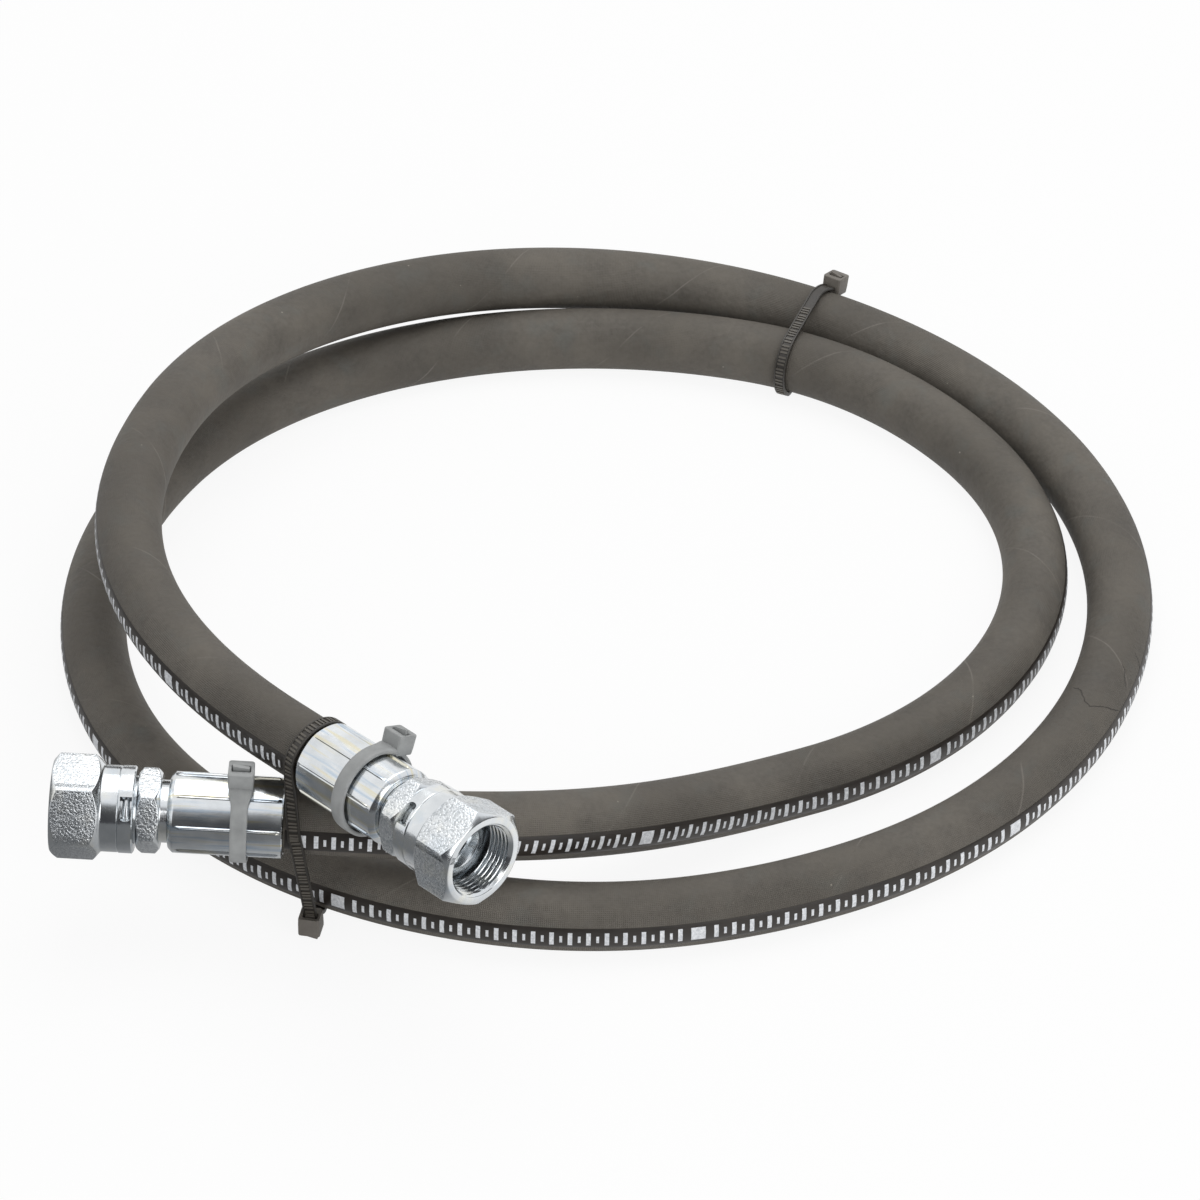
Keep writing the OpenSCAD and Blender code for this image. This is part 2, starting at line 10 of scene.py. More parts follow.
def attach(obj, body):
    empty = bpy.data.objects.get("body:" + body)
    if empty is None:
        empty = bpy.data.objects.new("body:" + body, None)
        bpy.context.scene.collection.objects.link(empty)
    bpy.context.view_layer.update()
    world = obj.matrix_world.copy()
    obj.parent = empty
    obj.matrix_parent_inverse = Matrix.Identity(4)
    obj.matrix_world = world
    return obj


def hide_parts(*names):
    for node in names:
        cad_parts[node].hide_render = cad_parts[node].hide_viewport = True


# A coiled two-wire hydraulic hose with a crimped fitting at each end and four cable ties.
# Sizes are in millimetres, and each mesh is written in metres.
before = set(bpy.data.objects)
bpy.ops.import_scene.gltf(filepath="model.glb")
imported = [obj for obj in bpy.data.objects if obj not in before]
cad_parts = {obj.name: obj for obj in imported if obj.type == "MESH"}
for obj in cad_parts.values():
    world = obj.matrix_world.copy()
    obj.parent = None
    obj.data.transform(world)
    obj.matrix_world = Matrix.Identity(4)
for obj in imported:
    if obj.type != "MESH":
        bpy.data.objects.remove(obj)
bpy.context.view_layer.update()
MM = 0.001


# ---- Small tools ----
def colour(code):
    """An sRGB hex value as a linear colour."""
    parts = [int(code[i:i + 2], 16) / 255 for i in (1, 3, 5)]
    return (*[c / 12.92 if c <= 0.04045 else ((c + 0.055) / 1.055) ** 2.4 for c in parts], 1.0)


def add_node(tree, kind, inputs=None, **settings):
    """Adds a node with its settings. An input is a value, a colour code, a Value or another node's output."""
    made = tree.nodes.new(kind)
    for name, value in settings.items():
        setattr(made, name, value)
    for name, value in (inputs or {}).items():
        value = getattr(value, "socket", value)
        if isinstance(value, bpy.types.NodeSocket):
            tree.links.new(value, made.inputs[name])
        else:
            is_code = isinstance(value, str) and value.startswith("#")
            made.inputs[name].default_value = colour(value) if is_code else value
    return made


def empty_tree(owner):
    """The cleared node tree of a material or a world."""
    owner.use_nodes = True
    owner.node_tree.nodes.clear()
    return owner.node_tree


class Value:
    """A node's output. It takes part in sums, so that a pattern reads as a formula."""

    def __init__(self, tree, socket):
        self.tree, self.socket = tree, socket

    def feed(self, kind, inputs, output=0, **settings):
        """The output of a new node in the same tree."""
        return Value(self.tree, add_node(self.tree, kind, inputs, **settings).outputs[output])

    def math(self, operation, other=0.0, **settings):
        return self.feed("ShaderNodeMath", {0: self, 1: other}, operation=operation, **settings)

    def __add__(self, other):
        return self.math("ADD", other)

    def __sub__(self, other):
        return self.math("SUBTRACT", other)

    def __mul__(self, other):
        return self.math("MULTIPLY", other)

    def __truediv__(self, other):
        return self.math("DIVIDE", other)

    def __abs__(self):
        return self.math("ABSOLUTE")

    def parts(self):
        """A vector's x, y and z."""
        split = add_node(self.tree, "ShaderNodeSeparateXYZ", {0: self})
        return [Value(self.tree, socket) for socket in split.outputs]

    def ramp(self, low=0.0, high=1.0, start=0.0, end=1.0):
        """start at low and end at high, straight between them and level past them."""
        reach = {"From Min": low, "From Max": high, "To Min": start, "To Max": end}
        return self.feed("ShaderNodeMapRange", {"Value": self, **reach})

    def mix(self, a, b):
        """Colour a at 0, and colour b at 1."""
        return self.feed("ShaderNodeMix", {"Factor": self, 6: a, 7: b}, 2, data_type="RGBA")

    def noise(self, size_mm, detail=3.0, rough=0.5):
        """Noise on coordinates in metres, with lumps about size_mm across."""
        grain = {"Scale": 1 / MM / size_mm, "Detail": detail, "Roughness": rough}
        return self.feed("ShaderNodeTexNoise", {"Vector": self, **grain})

    def bump(self, depth_mm, normal=None):
        """The normal of a surface that this pattern raises by depth_mm, on top of another normal."""
        under = {"Normal": normal} if normal else {}
        inputs = {"Height": self, "Strength": 1.0, "Distance": depth_mm * MM, **under}
        return self.feed("ShaderNodeBump", inputs)


def unit(v):
    v = np.asarray(v, float)
    return v / np.linalg.norm(v, axis=-1, keepdims=True)


def heading(turn, rise):
    turn, rise = math.radians(turn), math.radians(rise)
    return np.array([math.cos(rise) * math.cos(turn), math.cos(rise) * math.sin(turn), math.sin(rise)])


def between(angle, a, b):
    """The direction at an angle in degrees from direction a towards direction b."""
    return math.cos(math.radians(angle)) * a + math.sin(math.radians(angle)) * b


def distances(points):
    """How far along its line each point lies."""
    return np.append(0, np.cumsum(np.linalg.norm(np.diff(points, axis=0), axis=1)))


def sample(at, along, values):
    return np.stack([np.interp(at, along, column) for column in values.T], -1)


def add_object(name, data):
    made = bpy.data.objects.new(name, data)
    bpy.context.scene.collection.objects.link(made)
    return made


def put(mesh, name, node, slot, *looks, body="hose"):
    """Puts a mesh in the scene as the piece that stands for a node and rides on a body."""
    piece = add_object(name, mesh)
    for look in looks:
        mesh.materials.append(look)
    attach(piece, body)
    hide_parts(node)
    return piece


# ---- Camera ----
VIEW_DOWN = 38.211
VIEW_DISTANCE = 1695.103
VIEW_TARGET = (-2.799, 28.311, -2.0)
camera = add_object("camera", bpy.data.cameras.new("camera"))
down = math.radians(VIEW_DOWN)
camera.location = Vector((VIEW_TARGET[0],
                          VIEW_TARGET[1] - VIEW_DISTANCE * math.cos(down),
                          VIEW_TARGET[2] + VIEW_DISTANCE * math.sin(down))) * MM
camera.rotation_euler = (math.pi / 2 - down, 0, 0)
camera.data.sensor_width = 36
camera.data.lens = 163.06
camera.data.clip_end = 20
bpy.context.scene.camera = camera
bpy.context.scene.view_settings.view_transform = "Standard"

# ---- Route of the hose, the same as the solids' ----
HOSE_R = 10.0
HOSE_ROUND = 2 * math.pi * HOSE_R
LAYER_R = {"cover": (8.9, 10.0), "outer_braid": (8.4, 8.9), "insulation_layer": (8.1, 8.4),
           "inner_braid": (7.6, 8.1), "inner_tube": (6.35, 7.6)}
LOOP_R, SWING, LOOP_GAP, FRONT_SPREAD, CLIMB = 150.0, 18.5, 1.5, 24.5, 60.5
COIL_CENTRE = np.array([7.8, 22.5, 0.0])
FIRST_ANGLE, LAST_ANGLE = -61.5, 523.5
# Where each of these happens: a hump's middle and arc, or a step's first and last angle
SPREAD_ARC, SWING_ARC, STEP_OUT, CLIMB_TURN = (-87, 121), (203, 95), (73, 156), (388, 624)
REST_H, FLAT_DEPTH = 8.0, 2.0
STRAP_T, STRAP_W, SOFT_GAP, STRIP_T, TIE_FLOOR = 1.2, 3.8, 0.3, 0.2, 0.1
TIE_LIFT = TIE_FLOOR + STRAP_T + SOFT_GAP
FRONT_TIE_ANGLE, BACK_TIE_ANGLE, TIE_LIFT_ARC = 236.3, 66.0, 40.0
END_A, END_B = np.array([-100.5, -145.0, 37.5]), np.array([-88.0, -147.0, 60.5])
HEADING_A, RISE_A, HEADING_B, RISE_B = -1.5, -3.0, -47.0, 4.0
STRAIGHT_RUN, HOSE_END_X = 20.0, 29.7
PULL_A, PULL_B = (63.0, 45.0), (46.0, 94.0)
WAY_A, WAY_B = heading(HEADING_A, RISE_A), heading(HEADING_B, RISE_B)


def step01(t, a, b):
    u = np.clip((t - a) / (b - a), 0, 1)
    return u * u * (3 - 2 * u)


def hump(t, middle, arc):
    return (1 + np.cos(math.pi * np.minimum(np.abs(t - middle) / arc, 1))) / 2


def lift_at(a):
    """Height of the strap that the hose lies on."""
    return TIE_LIFT * (hump(a, FRONT_TIE_ANGLE, TIE_LIFT_ARC) + hump(a, BACK_TIE_ANGLE, TIE_LIFT_ARC))


def coil_point(a):
    a = np.asarray(a, float)
    inward = (2 * HOSE_R + LOOP_GAP + FRONT_SPREAD * hump(a, *SPREAD_ARC)) * (1 - step01(a, *STEP_OUT))
    r = LOOP_R + SWING * hump(a, *SWING_ARC) - inward
    h = REST_H + CLIMB * step01(a, *CLIMB_TURN) + lift_at(a)
    return np.stack([r * np.cos(np.radians(a)), r * np.sin(np.radians(a)), h], -1)


def coil_way(a):
    return unit(coil_point(a + 0.1) - coil_point(a - 0.1))


def curve(p, t):
    t = np.asarray(t, float)[:, None]
    return (1 - t) ** 3 * p[0] + 3 * (1 - t) ** 2 * t * p[1] + 3 * (1 - t) * t * t * p[2] + t ** 3 * p[3]


def hose_route():
    """Points, rest heights and distances along the hose, evenly spaced from one hidden end to the other."""
    start, end = coil_point(FIRST_ANGLE), coil_point(LAST_ANGLE)
    lead_a = [END_A + STRAIGHT_RUN * WAY_A, END_A + (STRAIGHT_RUN + PULL_A[0]) * WAY_A,
              start - PULL_A[1] * coil_way(FIRST_ANGLE), start]
    lead_b = [end, end + PULL_B[0] * coil_way(LAST_ANGLE),
              END_B - (STRAIGHT_RUN + PULL_B[1]) * WAY_B, END_B - STRAIGHT_RUN * WAY_B]
    angles = np.linspace(FIRST_ANGLE, LAST_ANGLE, 586)
    lead_t = np.linspace(0, 1, 81)
    straight = np.linspace(0, 1, 21)[:, None]
    parts = [END_A - HOSE_END_X * WAY_A + straight[:-1] * (HOSE_END_X + STRAIGHT_RUN) * WAY_A,
             curve(lead_a, lead_t[:-1]), coil_point(angles), curve(lead_b, lead_t[1:]),
             END_B - STRAIGHT_RUN * WAY_B + straight[1:] * (HOSE_END_X + STRAIGHT_RUN) * WAY_B]
    rests = [np.zeros(20), np.zeros(80), lift_at(angles), np.zeros(80), np.zeros(20)]
    points, rests = np.concatenate(parts) + COIL_CENTRE, np.concatenate(rests)
    return points, rests, distances(points)


DENSE, DENSE_REST, DENSE_S = hose_route()
HOSE_LENGTH = DENSE_S[-1]


def on_route(s):
    """Centre, rest height, and travel, outward and upward directions at distances along the hose."""
    at = lambda x: sample(x, DENSE_S, DENSE)
    way = unit(at(np.minimum(s + 2, HOSE_LENGTH)) - at(np.maximum(s - 2, 0)))
    out = unit(np.cross(way, [0, 0, 1]))
    return at(s), np.interp(s, DENSE_S, DENSE_REST), way, out, np.cross(out, way)


# ---- Meshes from grids that close on themselves both ways ----
def cut_window(lines, sides, finish, outer, inner, steps, first, last):
    """Takes the same window out of a grid's outer and inner wall, and joins its two edges with side walls.
    The window starts at line outer and, seen from the other side, at line inner."""
    within = lambda start: (lines[:, 0] >= start) & (lines[:, 0] < start + steps)
    keep = ~((within(outer) | within(inner)) & (sides[:, 0] >= first) & (sides[:, 0] < last))
    edges = [((outer, j), (outer, j + 1)) for j in range(first, last)]
    edges += [((outer + i, last), (outer + i + 1, last)) for i in range(steps)]
    edges += [((outer + steps, j + 1), (outer + steps, j)) for j in range(first, last)]
    edges += [((outer + i + 1, first), (outer + i, first)) for i in range(steps)]
    below = lambda p: (inner + steps - (p[0] - outer), p[1])
    walls = np.array([(p, q, below(q), below(p)) for p, q in edges])
    return (np.concatenate([lines[keep], walls[..., 0]]), np.concatenate([sides[keep], walls[..., 1]]),
            np.concatenate([finish[keep], np.zeros(len(walls), int)]))


def write_mesh(name, co, faces, uv, sharp):
    """A smooth mesh of points in millimetres. uv has the pattern's place at each face's corners."""
    mesh = bpy.data.meshes.new(name)
    mesh.from_pydata((co * MM).tolist(), [], faces)
    mesh.polygons.foreach_set("use_smooth", np.ones(len(faces), bool))
    mesh.set_sharp_from_angle(angle=math.radians(sharp))
    mesh.uv_layers.new(name="pattern_mm").data.foreach_set("uv", uv.astype(np.float32).ravel())
    return mesh


def wrapped_grid(name, points, u=None, v=None, sharp=35, finish=None, cut=None):
    """points[line, side], joined last to first both ways, so that the grid has no edge or pole.
    u and v are the pattern's millimetres at each line and side, with one value more than there are,
    or a plain count.
    finish is each face's material, and cut a window through both walls."""
    k, j = points.shape[:2]
    u, v = [np.arange(n + 1.0) if given is None else given for n, given in ((k, u), (j, v))]
    line, side = [a.ravel()[:, None] for a in np.meshgrid(np.arange(k), np.arange(j), indexing="ij")]
    lines, sides = line + np.array([0, 0, 1, 1]), side + np.array([0, 1, 1, 0])
    finish = np.zeros(len(lines), int) if finish is None else finish
    if cut:
        lines, sides, finish = cut_window(lines, sides, finish, *cut)
    ids = lines % k * j + sides % j
    co = points.reshape(-1, 3)
    at = co[ids]
    volume = sum(np.einsum("ij,ij->", at[:, 0], np.cross(at[:, i], at[:, i + 1])) for i in (1, 2))
    if volume < 0:
        lines, sides, ids = lines[:, ::-1], sides[:, ::-1], ids[:, ::-1]
    mesh = write_mesh(name, co, ids.tolist(), np.stack([u[lines], v[sides]], -1), sharp)
    mesh.polygons.foreach_set("material_index", finish.astype(np.int32))
    if cut:
        loose = bmesh.new()
        loose.from_mesh(mesh)
        bmesh.ops.delete(loose, geom=[p for p in loose.verts if not p.link_faces], context="VERTS")
        loose.to_mesh(mesh)
        loose.free()
    return mesh


def open_sweep(name, grid, u, v=None, sharp=35):
    """A sweep with a closed section and two flat ends. v is millimetres round it, or a plain count."""
    k, j = grid.shape[:2]
    v = np.arange(j) if v is None else v
    ids = np.arange(k * j).reshape(k, j)
    a, b = ids[:-1], ids[1:]
    quads = np.stack([a, np.roll(a, -1, 1), np.roll(b, -1, 1), b], -1).reshape(-1, 4)
    co = grid.reshape(-1, 3)
    p = co[quads[k // 2 * j]]
    flip = np.dot(np.cross(p[1] - p[0], p[3] - p[0]), p[0] - grid[k // 2].mean(0)) < 0
    faces = quads.tolist() + [ids[0][::-1].tolist(), ids[-1].tolist()]
    if flip:
        faces = [face[::-1] for face in faces]
    where = np.stack([np.repeat(u, j), np.tile(v[:j], k)], 1)
    return write_mesh(name, co, faces, where[np.concatenate(faces)], sharp)


# ---- The hose's layers ----
HOSE_EASE, STRAP_EASE = 0.16, 0.09


def least_h(r):
    """Height above its rest at which a layer's radius is flattened."""
    wall = HOSE_R - LAYER_R["inner_tube"][0]
    return max(0, HOSE_R - r) * (wall - FLAT_DEPTH) / wall


def kept_above(z, floor, ease):
    """Heights that level out as they near a floor. ease says how softly, in square millimetres."""
    over = z - floor
    return floor + (over + np.sqrt(over ** 2 + ease)) / 2


def tube_ring(centre, rest, out, up, r, turns):
    """Rings of radius r, rounded over to a flat where the hose rests."""
    cos, sin = np.cos(turns)[:, None], np.sin(turns)[:, None]
    ring = centre[:, None] + r * (cos * out[:, None] + sin * up[:, None])
    ring[..., 2] = kept_above(ring[..., 2], rest[:, None] + least_h(r), HOSE_EASE)
    return ring


def ring_places(spacing):
    return np.linspace(0, HOSE_LENGTH, int(HOSE_LENGTH / spacing))


def hose_layer(name, spacing, sides):
    """One unbroken tube wall from end to end of the hose."""
    inner, outer = LAYER_R[name]
    s = ring_places(spacing)
    turns = np.linspace(0, 2 * math.pi, sides + 1) - math.radians(100)
    centre, rest, _, out, up = on_route(s)
    walls = [tube_ring(centre, rest, out, up, r, turns[:-1]) for r in (outer, inner)]
    grid = np.concatenate([walls[0], walls[1][::-1]])
    u = np.concatenate([s, s[::-1], s[:1]])
    return wrapped_grid("hose_" + name, grid, u, turns * HOSE_R, sharp=60)


STRIP_HALF = math.radians(20.6)
STRIP_EDGE = 0.5


def strip_mesh():
    """The smooth strip along the outward side, hugging the cover between the ferrules."""
    s = np.linspace(HOSE_END_X + STRIP_EDGE, HOSE_LENGTH - HOSE_END_X - STRIP_EDGE, 760)
    centre, rest, _, out, up = on_route(s)
    turns = np.linspace(-STRIP_HALF, STRIP_HALF, 13)
    low, high = HOSE_R - 0.12, HOSE_R + 0.14
    tops = [high - 0.1] + [high] * 11 + [high - 0.1]
    radii = list(zip(turns, tops)) + [(t, low) for t in turns[::-1]]
    grid = np.stack([centre + r * (math.cos(t) * out + math.sin(t) * up) for t, r in radii], 1)
    around = np.array([r * t for t, r in radii] + [radii[0][0] * HOSE_R])
    return open_sweep("layline", grid, s, around)


# ---- Materials ----
CLOTH_PITCH = HOSE_ROUND / 57
# The wrapping tape's lead along the hose, and the fraction of a turn at which it starts
WRAP_PITCH, WRAP_START = 63.4, 0.148
# Creases where the hose was bent, drawn as grooves with painted shade in them: places along and around, half
# width, slope and whether it is folded back
CREASES = [(1182.4, 12.8, 9.0, 0.93, True), (1202.8, 8.3, 2.6, 1.6, False), (1213.0, 5.0, 3.0, 0.5, False)]


def start_look(name):
    """A new material, and the piece's own coordinates in metres."""
    made = bpy.data.materials.new(name)
    tree = empty_tree(made)
    return made, Value(tree, add_node(tree, "ShaderNodeTexCoord").outputs["Object"])


def finish_look(made, base, rough, normal, more=None):
    """Gives a material its shader. more holds any other inputs by name."""
    inputs = {"Base Color": base, "Roughness": rough, "Normal": normal, **(more or {})}
    shader = add_node(made.node_tree, "ShaderNodeBsdfPrincipled", inputs)
    add_node(made.node_tree, "ShaderNodeOutputMaterial", {"Surface": shader.outputs[0]})
    return made


def pattern_mm(where):
    """Millimetres along and around the piece, from its UV map."""
    return where.feed("ShaderNodeUVMap", {}, uv_map="pattern_mm").parts()[:2]


def stretched_noise(u, v, along_mm, around_mm):
    """Noise whose lumps differ in length along and around the piece."""
    place = u.feed("ShaderNodeCombineXYZ", {0: u / along_mm, 1: v / around_mm})
    return place.feed("ShaderNodeTexNoise", {"Vector": place, "Scale": 1.0, "Detail": 2.0})


def crossing_waves(one, two, pitch):
    """Two sets of waves that cross, as woven threads do."""
    lean = 2 * math.pi / pitch
    return (one * lean).math("SINE") * (two * lean).math("SINE")


def crease(u, v, wobble, at_u, at_v, half, slope, folded):
    """1 on a thin crooked line across the hose and 0 beside it."""
    across = v - at_v
    side = abs(across)
    off = abs(u - at_u - (side if folded else across) * slope - wobble)
    return off.ramp(0.45, 0.15) * side.ramp(half, half - 1.0)


def wrapped_rubber():
    """Synthetic rubber, cured under a wrapped cloth tape: matt, with the cloth's weave pressed into it,
    a faint step at each turn of the tape, dusty mottling, a few pale specks, and painted shade in its creases
    and in broad random patches."""
    made, where = start_look("wrapped_synthetic_rubber")
    u, v = pattern_mm(where)
    # cloth weave, 1.1 mm between threads both ways, clearest beside the strip
    patchy = where.noise(26, 2).ramp(0.38, 0.62)
    near_strip = abs(v).ramp(13.0, 6.0)
    imprint = (patchy * 0.45).math("ADD", near_strip * 0.75, use_clamp=True)
    weave = crossing_waves(u + v, u - v, CLOTH_PITCH) * imprint
    # one step for each turn of the tape
    wander = (where.noise(18, 2) - 0.5) * 0.03
    tape = (u / WRAP_PITCH - v / HOSE_ROUND + WRAP_START + wander).math("FRACT")
    seam = abs(tape - 0.5).ramp(0.492, 0.498) * where.noise(16, 2).ramp(0.4, 0.6)
    wobble = (where.noise(5, 2) - 0.5) * 5.0
    # the creases are real grooves, and their near-black colour below is painted shade
    crease_grooves_and_shade = [crease(u, v, wobble, *place) for place in CREASES]
    crease_grooves_and_shade = reduce(lambda a, b: a.math("MAXIMUM", b), crease_grooves_and_shade)
    mottle = where.noise(14, 4, 0.6).ramp(0.3, 0.7)
    fine = where.noise(1.6, 3).ramp(0.3, 0.7)
    cool = where.noise(9, 3).ramp(0.55, 0.75)
    # broad darker patches at random: painted shade and painted reflection of the dark hose
    broad_painted_shade = where.noise(55, 1).ramp(0.42, 0.62)
    specks = where.feed("ShaderNodeTexVoronoi", {"Vector": where, "Scale": 1 / MM / 7.0}, feature="F1")
    specks = specks.ramp(0.05, 0.03) * where.noise(9, 0).ramp(0.56, 0.6)
    # colour: dusty warm grey, with broad random patches of painted shade and painted shade in the creases
    base = mottle.mix("#4f4b45", "#68635b")
    for pattern, share, code in ((fine, 0.35, "#6f6a63"), (cool, 0.35, "#5e625f"),
                                 (weave.ramp(0.1, 0.9), 0.36, "#837d75"), (broad_painted_shade, 0.4, "#423e38"),
                                 (seam, 0.42, "#87817a"), (crease_grooves_and_shade, 0.7, "#24211d"), (specks, 0.55, "#a49d92")):
        base = (pattern * share).mix(base, code)
    normal = None
    for height, depth in ((weave, 0.10), (fine, 0.05), (tape, 0.16), (crease_grooves_and_shade * -1.0, 0.15), (mottle, 0.35)):
        normal = height.bump(depth, normal)
    rough = mottle.ramp(start=0.62, end=0.74)
    return finish_look(made, base, rough, normal, {"IOR": 1.5, "Specular IOR Level": 0.42})


def smooth_strip():
    """The same rubber, cured against a smooth tape: near black and half glossy."""
    made, where = start_look("tape_smooth_rubber")
    smear = where.noise(12, 4, 0.6).ramp(0.3, 0.7)
    return finish_look(made, smear.mix("#211c18", "#2d2722"), smear.ramp(start=0.36, end=0.5),
                       where.noise(3.5, 3).bump(0.06), {"IOR": 1.5})


def strip_paint():
    """Silver-white marking ink, rolled on: thin, slightly mealy and satin."""
    made, where = start_look("silver_white_marking_ink")
    mealy = where.noise(0.9, 3, 0.7).ramp(0.35, 0.65)
    return finish_look(made, mealy.mix("#c3c6cb", "#eceef1"), 0.5, mealy.bump(0.02), {"Metallic": 0.15})


def plain_rubber(name, code, rough):
    """Extruded or moulded rubber: an even dark colour with a fine skin."""
    made, where = start_look(name)
    skin = where.noise(1.2, 3).ramp(0.3, 0.7)
    return finish_look(made, skin.mix(code, "#34322f"), rough, skin.bump(0.03))


def braid_wire(name):
    """Brass-coated spring steel wire, braided: crossing bundles, 3 mm wide."""
    made, where = start_look(name)
    u, v = pattern_mm(where)
    cross = crossing_waves(u * 0.7 + v, u * 0.7 - v, 3.0)
    base = cross.ramp(-1, 1).mix("#7d7462", "#c9bfa8")
    return finish_look(made, base, 0.35, cross.bump(0.2), {"Metallic": 1.0})


def zinc(name, grit, rough, lines_mm, warm, bands=False):
    """Bright zinc plate on machined steel: a clear passivated skin that shows faint blue and straw colours.
    grit is the depth of the rolled bar's pitted skin, and lines_mm the pitch of the turning marks.
    bands draws the colours out along the piece, as crimping does."""
    made, where = start_look(name)
    u, v = pattern_mm(where)
    cloud = where.noise(9, 3, 0.6)
    drawn = stretched_noise(u, v, 34.0, 2.4) if bands else where.noise(6, 2)
    straw = (drawn if bands else cloud).ramp(0.54, 0.66)
    blue = drawn.ramp(0.46, 0.34) if bands else drawn.ramp(0.55, 0.72)
    base = cloud.ramp(0.3, 0.7).mix("#d3d7da", "#e8ebed")
    base = (straw * warm).mix(base, "#e3dcc0")
    base = (blue * (warm * 0.8)).mix(base, "#a9c0d6")
    normal = where.noise(2.5, 3).bump(0.025)
    if lines_mm:
        normal = stretched_noise(u, v, lines_mm, 14.0).bump(0.012, normal)
    if grit:
        pits = where.noise(0.7, 2, 0.6)
        base = (pits.ramp(0.5, 0.4) * 0.45).mix(base, "#8f979d")
        normal = pits.bump(grit, normal)
    return finish_look(made, base, cloud.ramp(0.3, 0.7, rough, rough + 0.07), normal, {"Metallic": 1.0})


def nylon(name, dark, light, rough):
    """Injection-moulded nylon: half matt, with faint flow marks."""
    made, where = start_look(name)
    flow = where.noise(5, 3).ramp(0.3, 0.7)
    return finish_look(made, flow.mix(dark, light), flow.ramp(start=rough, end=rough + 0.08),
                       where.noise(0.8, 3).bump(0.02), {"IOR": 1.53})


COVER_RUBBER = wrapped_rubber()
STRIP_RUBBER = smooth_strip()
STRIP_INK = strip_paint()
TUBE_RUBBER = plain_rubber("extruded_nitrile_rubber", "#26241f", 0.5)
SEAL_RUBBER = plain_rubber("moulded_seal_rubber", "#191816", 0.38)
BRAID_WIRE = braid_wire("braided_spring_wire")
BRIGHT_WIRE = zinc("drawn_spring_wire", 0, 0.22, 0, 0)
ZINC_TURNED = zinc("zinc_plate_on_turned_steel", 0, 0.13, 0.35, 0.25)
ZINC_CRIMPED = zinc("zinc_plate_on_crimped_steel", 0, 0.16, 1.2, 0.8, bands=True)
ZINC_PITTED = zinc("zinc_plate_on_rolled_bar", 0.34, 0.22, 0, 0.15)
GREY_NYLON = nylon("moulded_grey_nylon", "#8d8f8f", "#a2a4a4", 0.42)
BLACK_NYLON = nylon("moulded_black_nylon", "#2a2723", "#35312c", 0.4)
# the bundle ties' heads: the same black nylon as their straps, made lighter as painted light on the heads
LIT_HEAD_NYLON = nylon("black_nylon_with_painted_light", "#645f59", "#716c65", 0.5)
# the straps' teeth, in a lighter colour than the strap
LIGHTER_TOOTH_NYLON = nylon("black_nylon_lighter_on_its_teeth", "#4b4741", "#5b564e", 0.36)

# ---- The cord first: the hose itself, from ferrule to ferrule ----
COVER_SPACING = 2.4
cover = put(hose_layer("cover", COVER_SPACING, 56), "hose_cover", "cover", "cover_rubber", COVER_RUBBER)
for layer, slot, look in (("outer_braid", "bright_wire", BRAID_WIRE),
                          ("insulation_layer", "lining_rubber", TUBE_RUBBER),
                          ("inner_braid", "bright_wire", BRAID_WIRE),
                          ("inner_tube", "lining_rubber", TUBE_RUBBER)):
    put(hose_layer(layer, 7.0, 32), "hose_" + layer, layer, slot, look)


# ---- Fittings, along their own axis from the ferrule's hose end to the nut's mouth ----
def fitting(end, turn, rise, roll):
    """A fitting's place, its own X, Y and Z directions, and the angle of its hexagons' corners."""
    x, y = heading(turn, -rise), heading(turn + 90, 0)
    return {"at": end + COIL_CENTRE, "axes": (x, y, np.cross(x, y)), "roll": roll}


FITTINGS = {"a": fitting(END_A, HEADING_A + 180, RISE_A, -63), "b": fitting(END_B, HEADING_B, -RISE_B, 27)}


def placed(fit, x, r, turns):
    """Points of the whole, from distances along a fitting's axis, radii from it and turns about it."""
    ax, ay, az = fit["axes"]
    y, z = r * np.cos(turns), r * np.sin(turns)
    return fit["at"] + x[..., None] * ax + y[..., None] * ay + z[..., None] * az


def outline(places, turns):
    """A closed outline of (distance along, radius, bevel), as [line, turn] grids with its corners rounded.
    A distance or a radius may be a number, or one value for each turn."""
    full = np.array([[np.broadcast_to(part, turns.shape) for part in place[:2]] for place in places], float)
    lines = []
    for i, (_, _, bevel) in enumerate(places):
        here, before, after = full[i], full[i - 1], full[(i + 1) % len(full)]
        if not bevel:
            lines.append(here)
            continue
        ends = []
        for other in (before, after):
            reach = np.maximum(np.hypot(*(other - here)), 1e-6)
            ends.append(here + (other - here) * np.minimum(bevel, reach * 0.4) / reach)
        lines += [ends[0], 0.25 * ends[0] + 0.5 * here + 0.25 * ends[1], ends[1]]
    return np.array(lines).transpose(1, 0, 2)


def walk_length(x, r):
    """Distance along an outline at its first turn, closed with its last value."""
    steps = [np.diff(places[:, 0], append=places[0, 0]) for places in (x, r)]
    return np.append(0, np.cumsum(np.hypot(*steps)))


# The radius at which a turned piece's pattern has its true size
PATTERN_R = 12.0


def turned(fit, name, x, r, turns, sharp=35, finish=None, cut=None):
    """A piece turned about the fitting's axis. turns is [turn] or [line, turn], in radians."""
    turn_grid = np.broadcast_to(turns, x.shape)
    grid = placed(fit, x, r, turn_grid)
    around = np.append(turn_grid[0], turn_grid[0, 0] + 2 * math.pi) * PATTERN_R
    return wrapped_grid(name, grid, walk_length(x, r), around, sharp, finish, cut)


def spread(parts):
    """Turns from stretches of (from, to, steps), in degrees."""
    return np.concatenate([np.linspace(a, b, n, endpoint=False) for a, b, n in parts])


# ---- Ferrule: a crimped socket with a ridge between the marks of each pair of dies ----
FERRULE_LEN, FERRULE_R, FERRULE_BORE_R, FERRULE_TAPER = 33.0, 11.8, 10.4, 1.4
RIDGES, FIRST_RIDGE, RIDGE_H, RIDGE_HALF = 8, 18.0, 0.4, 2.7
FLAT_SINK, SEAM_DEPTH, SEAM_HALF = 0.135, 0.14, 0.7
LIP_T, LIP_R, END_FACE_R = 3.0, 7.6, 10.35


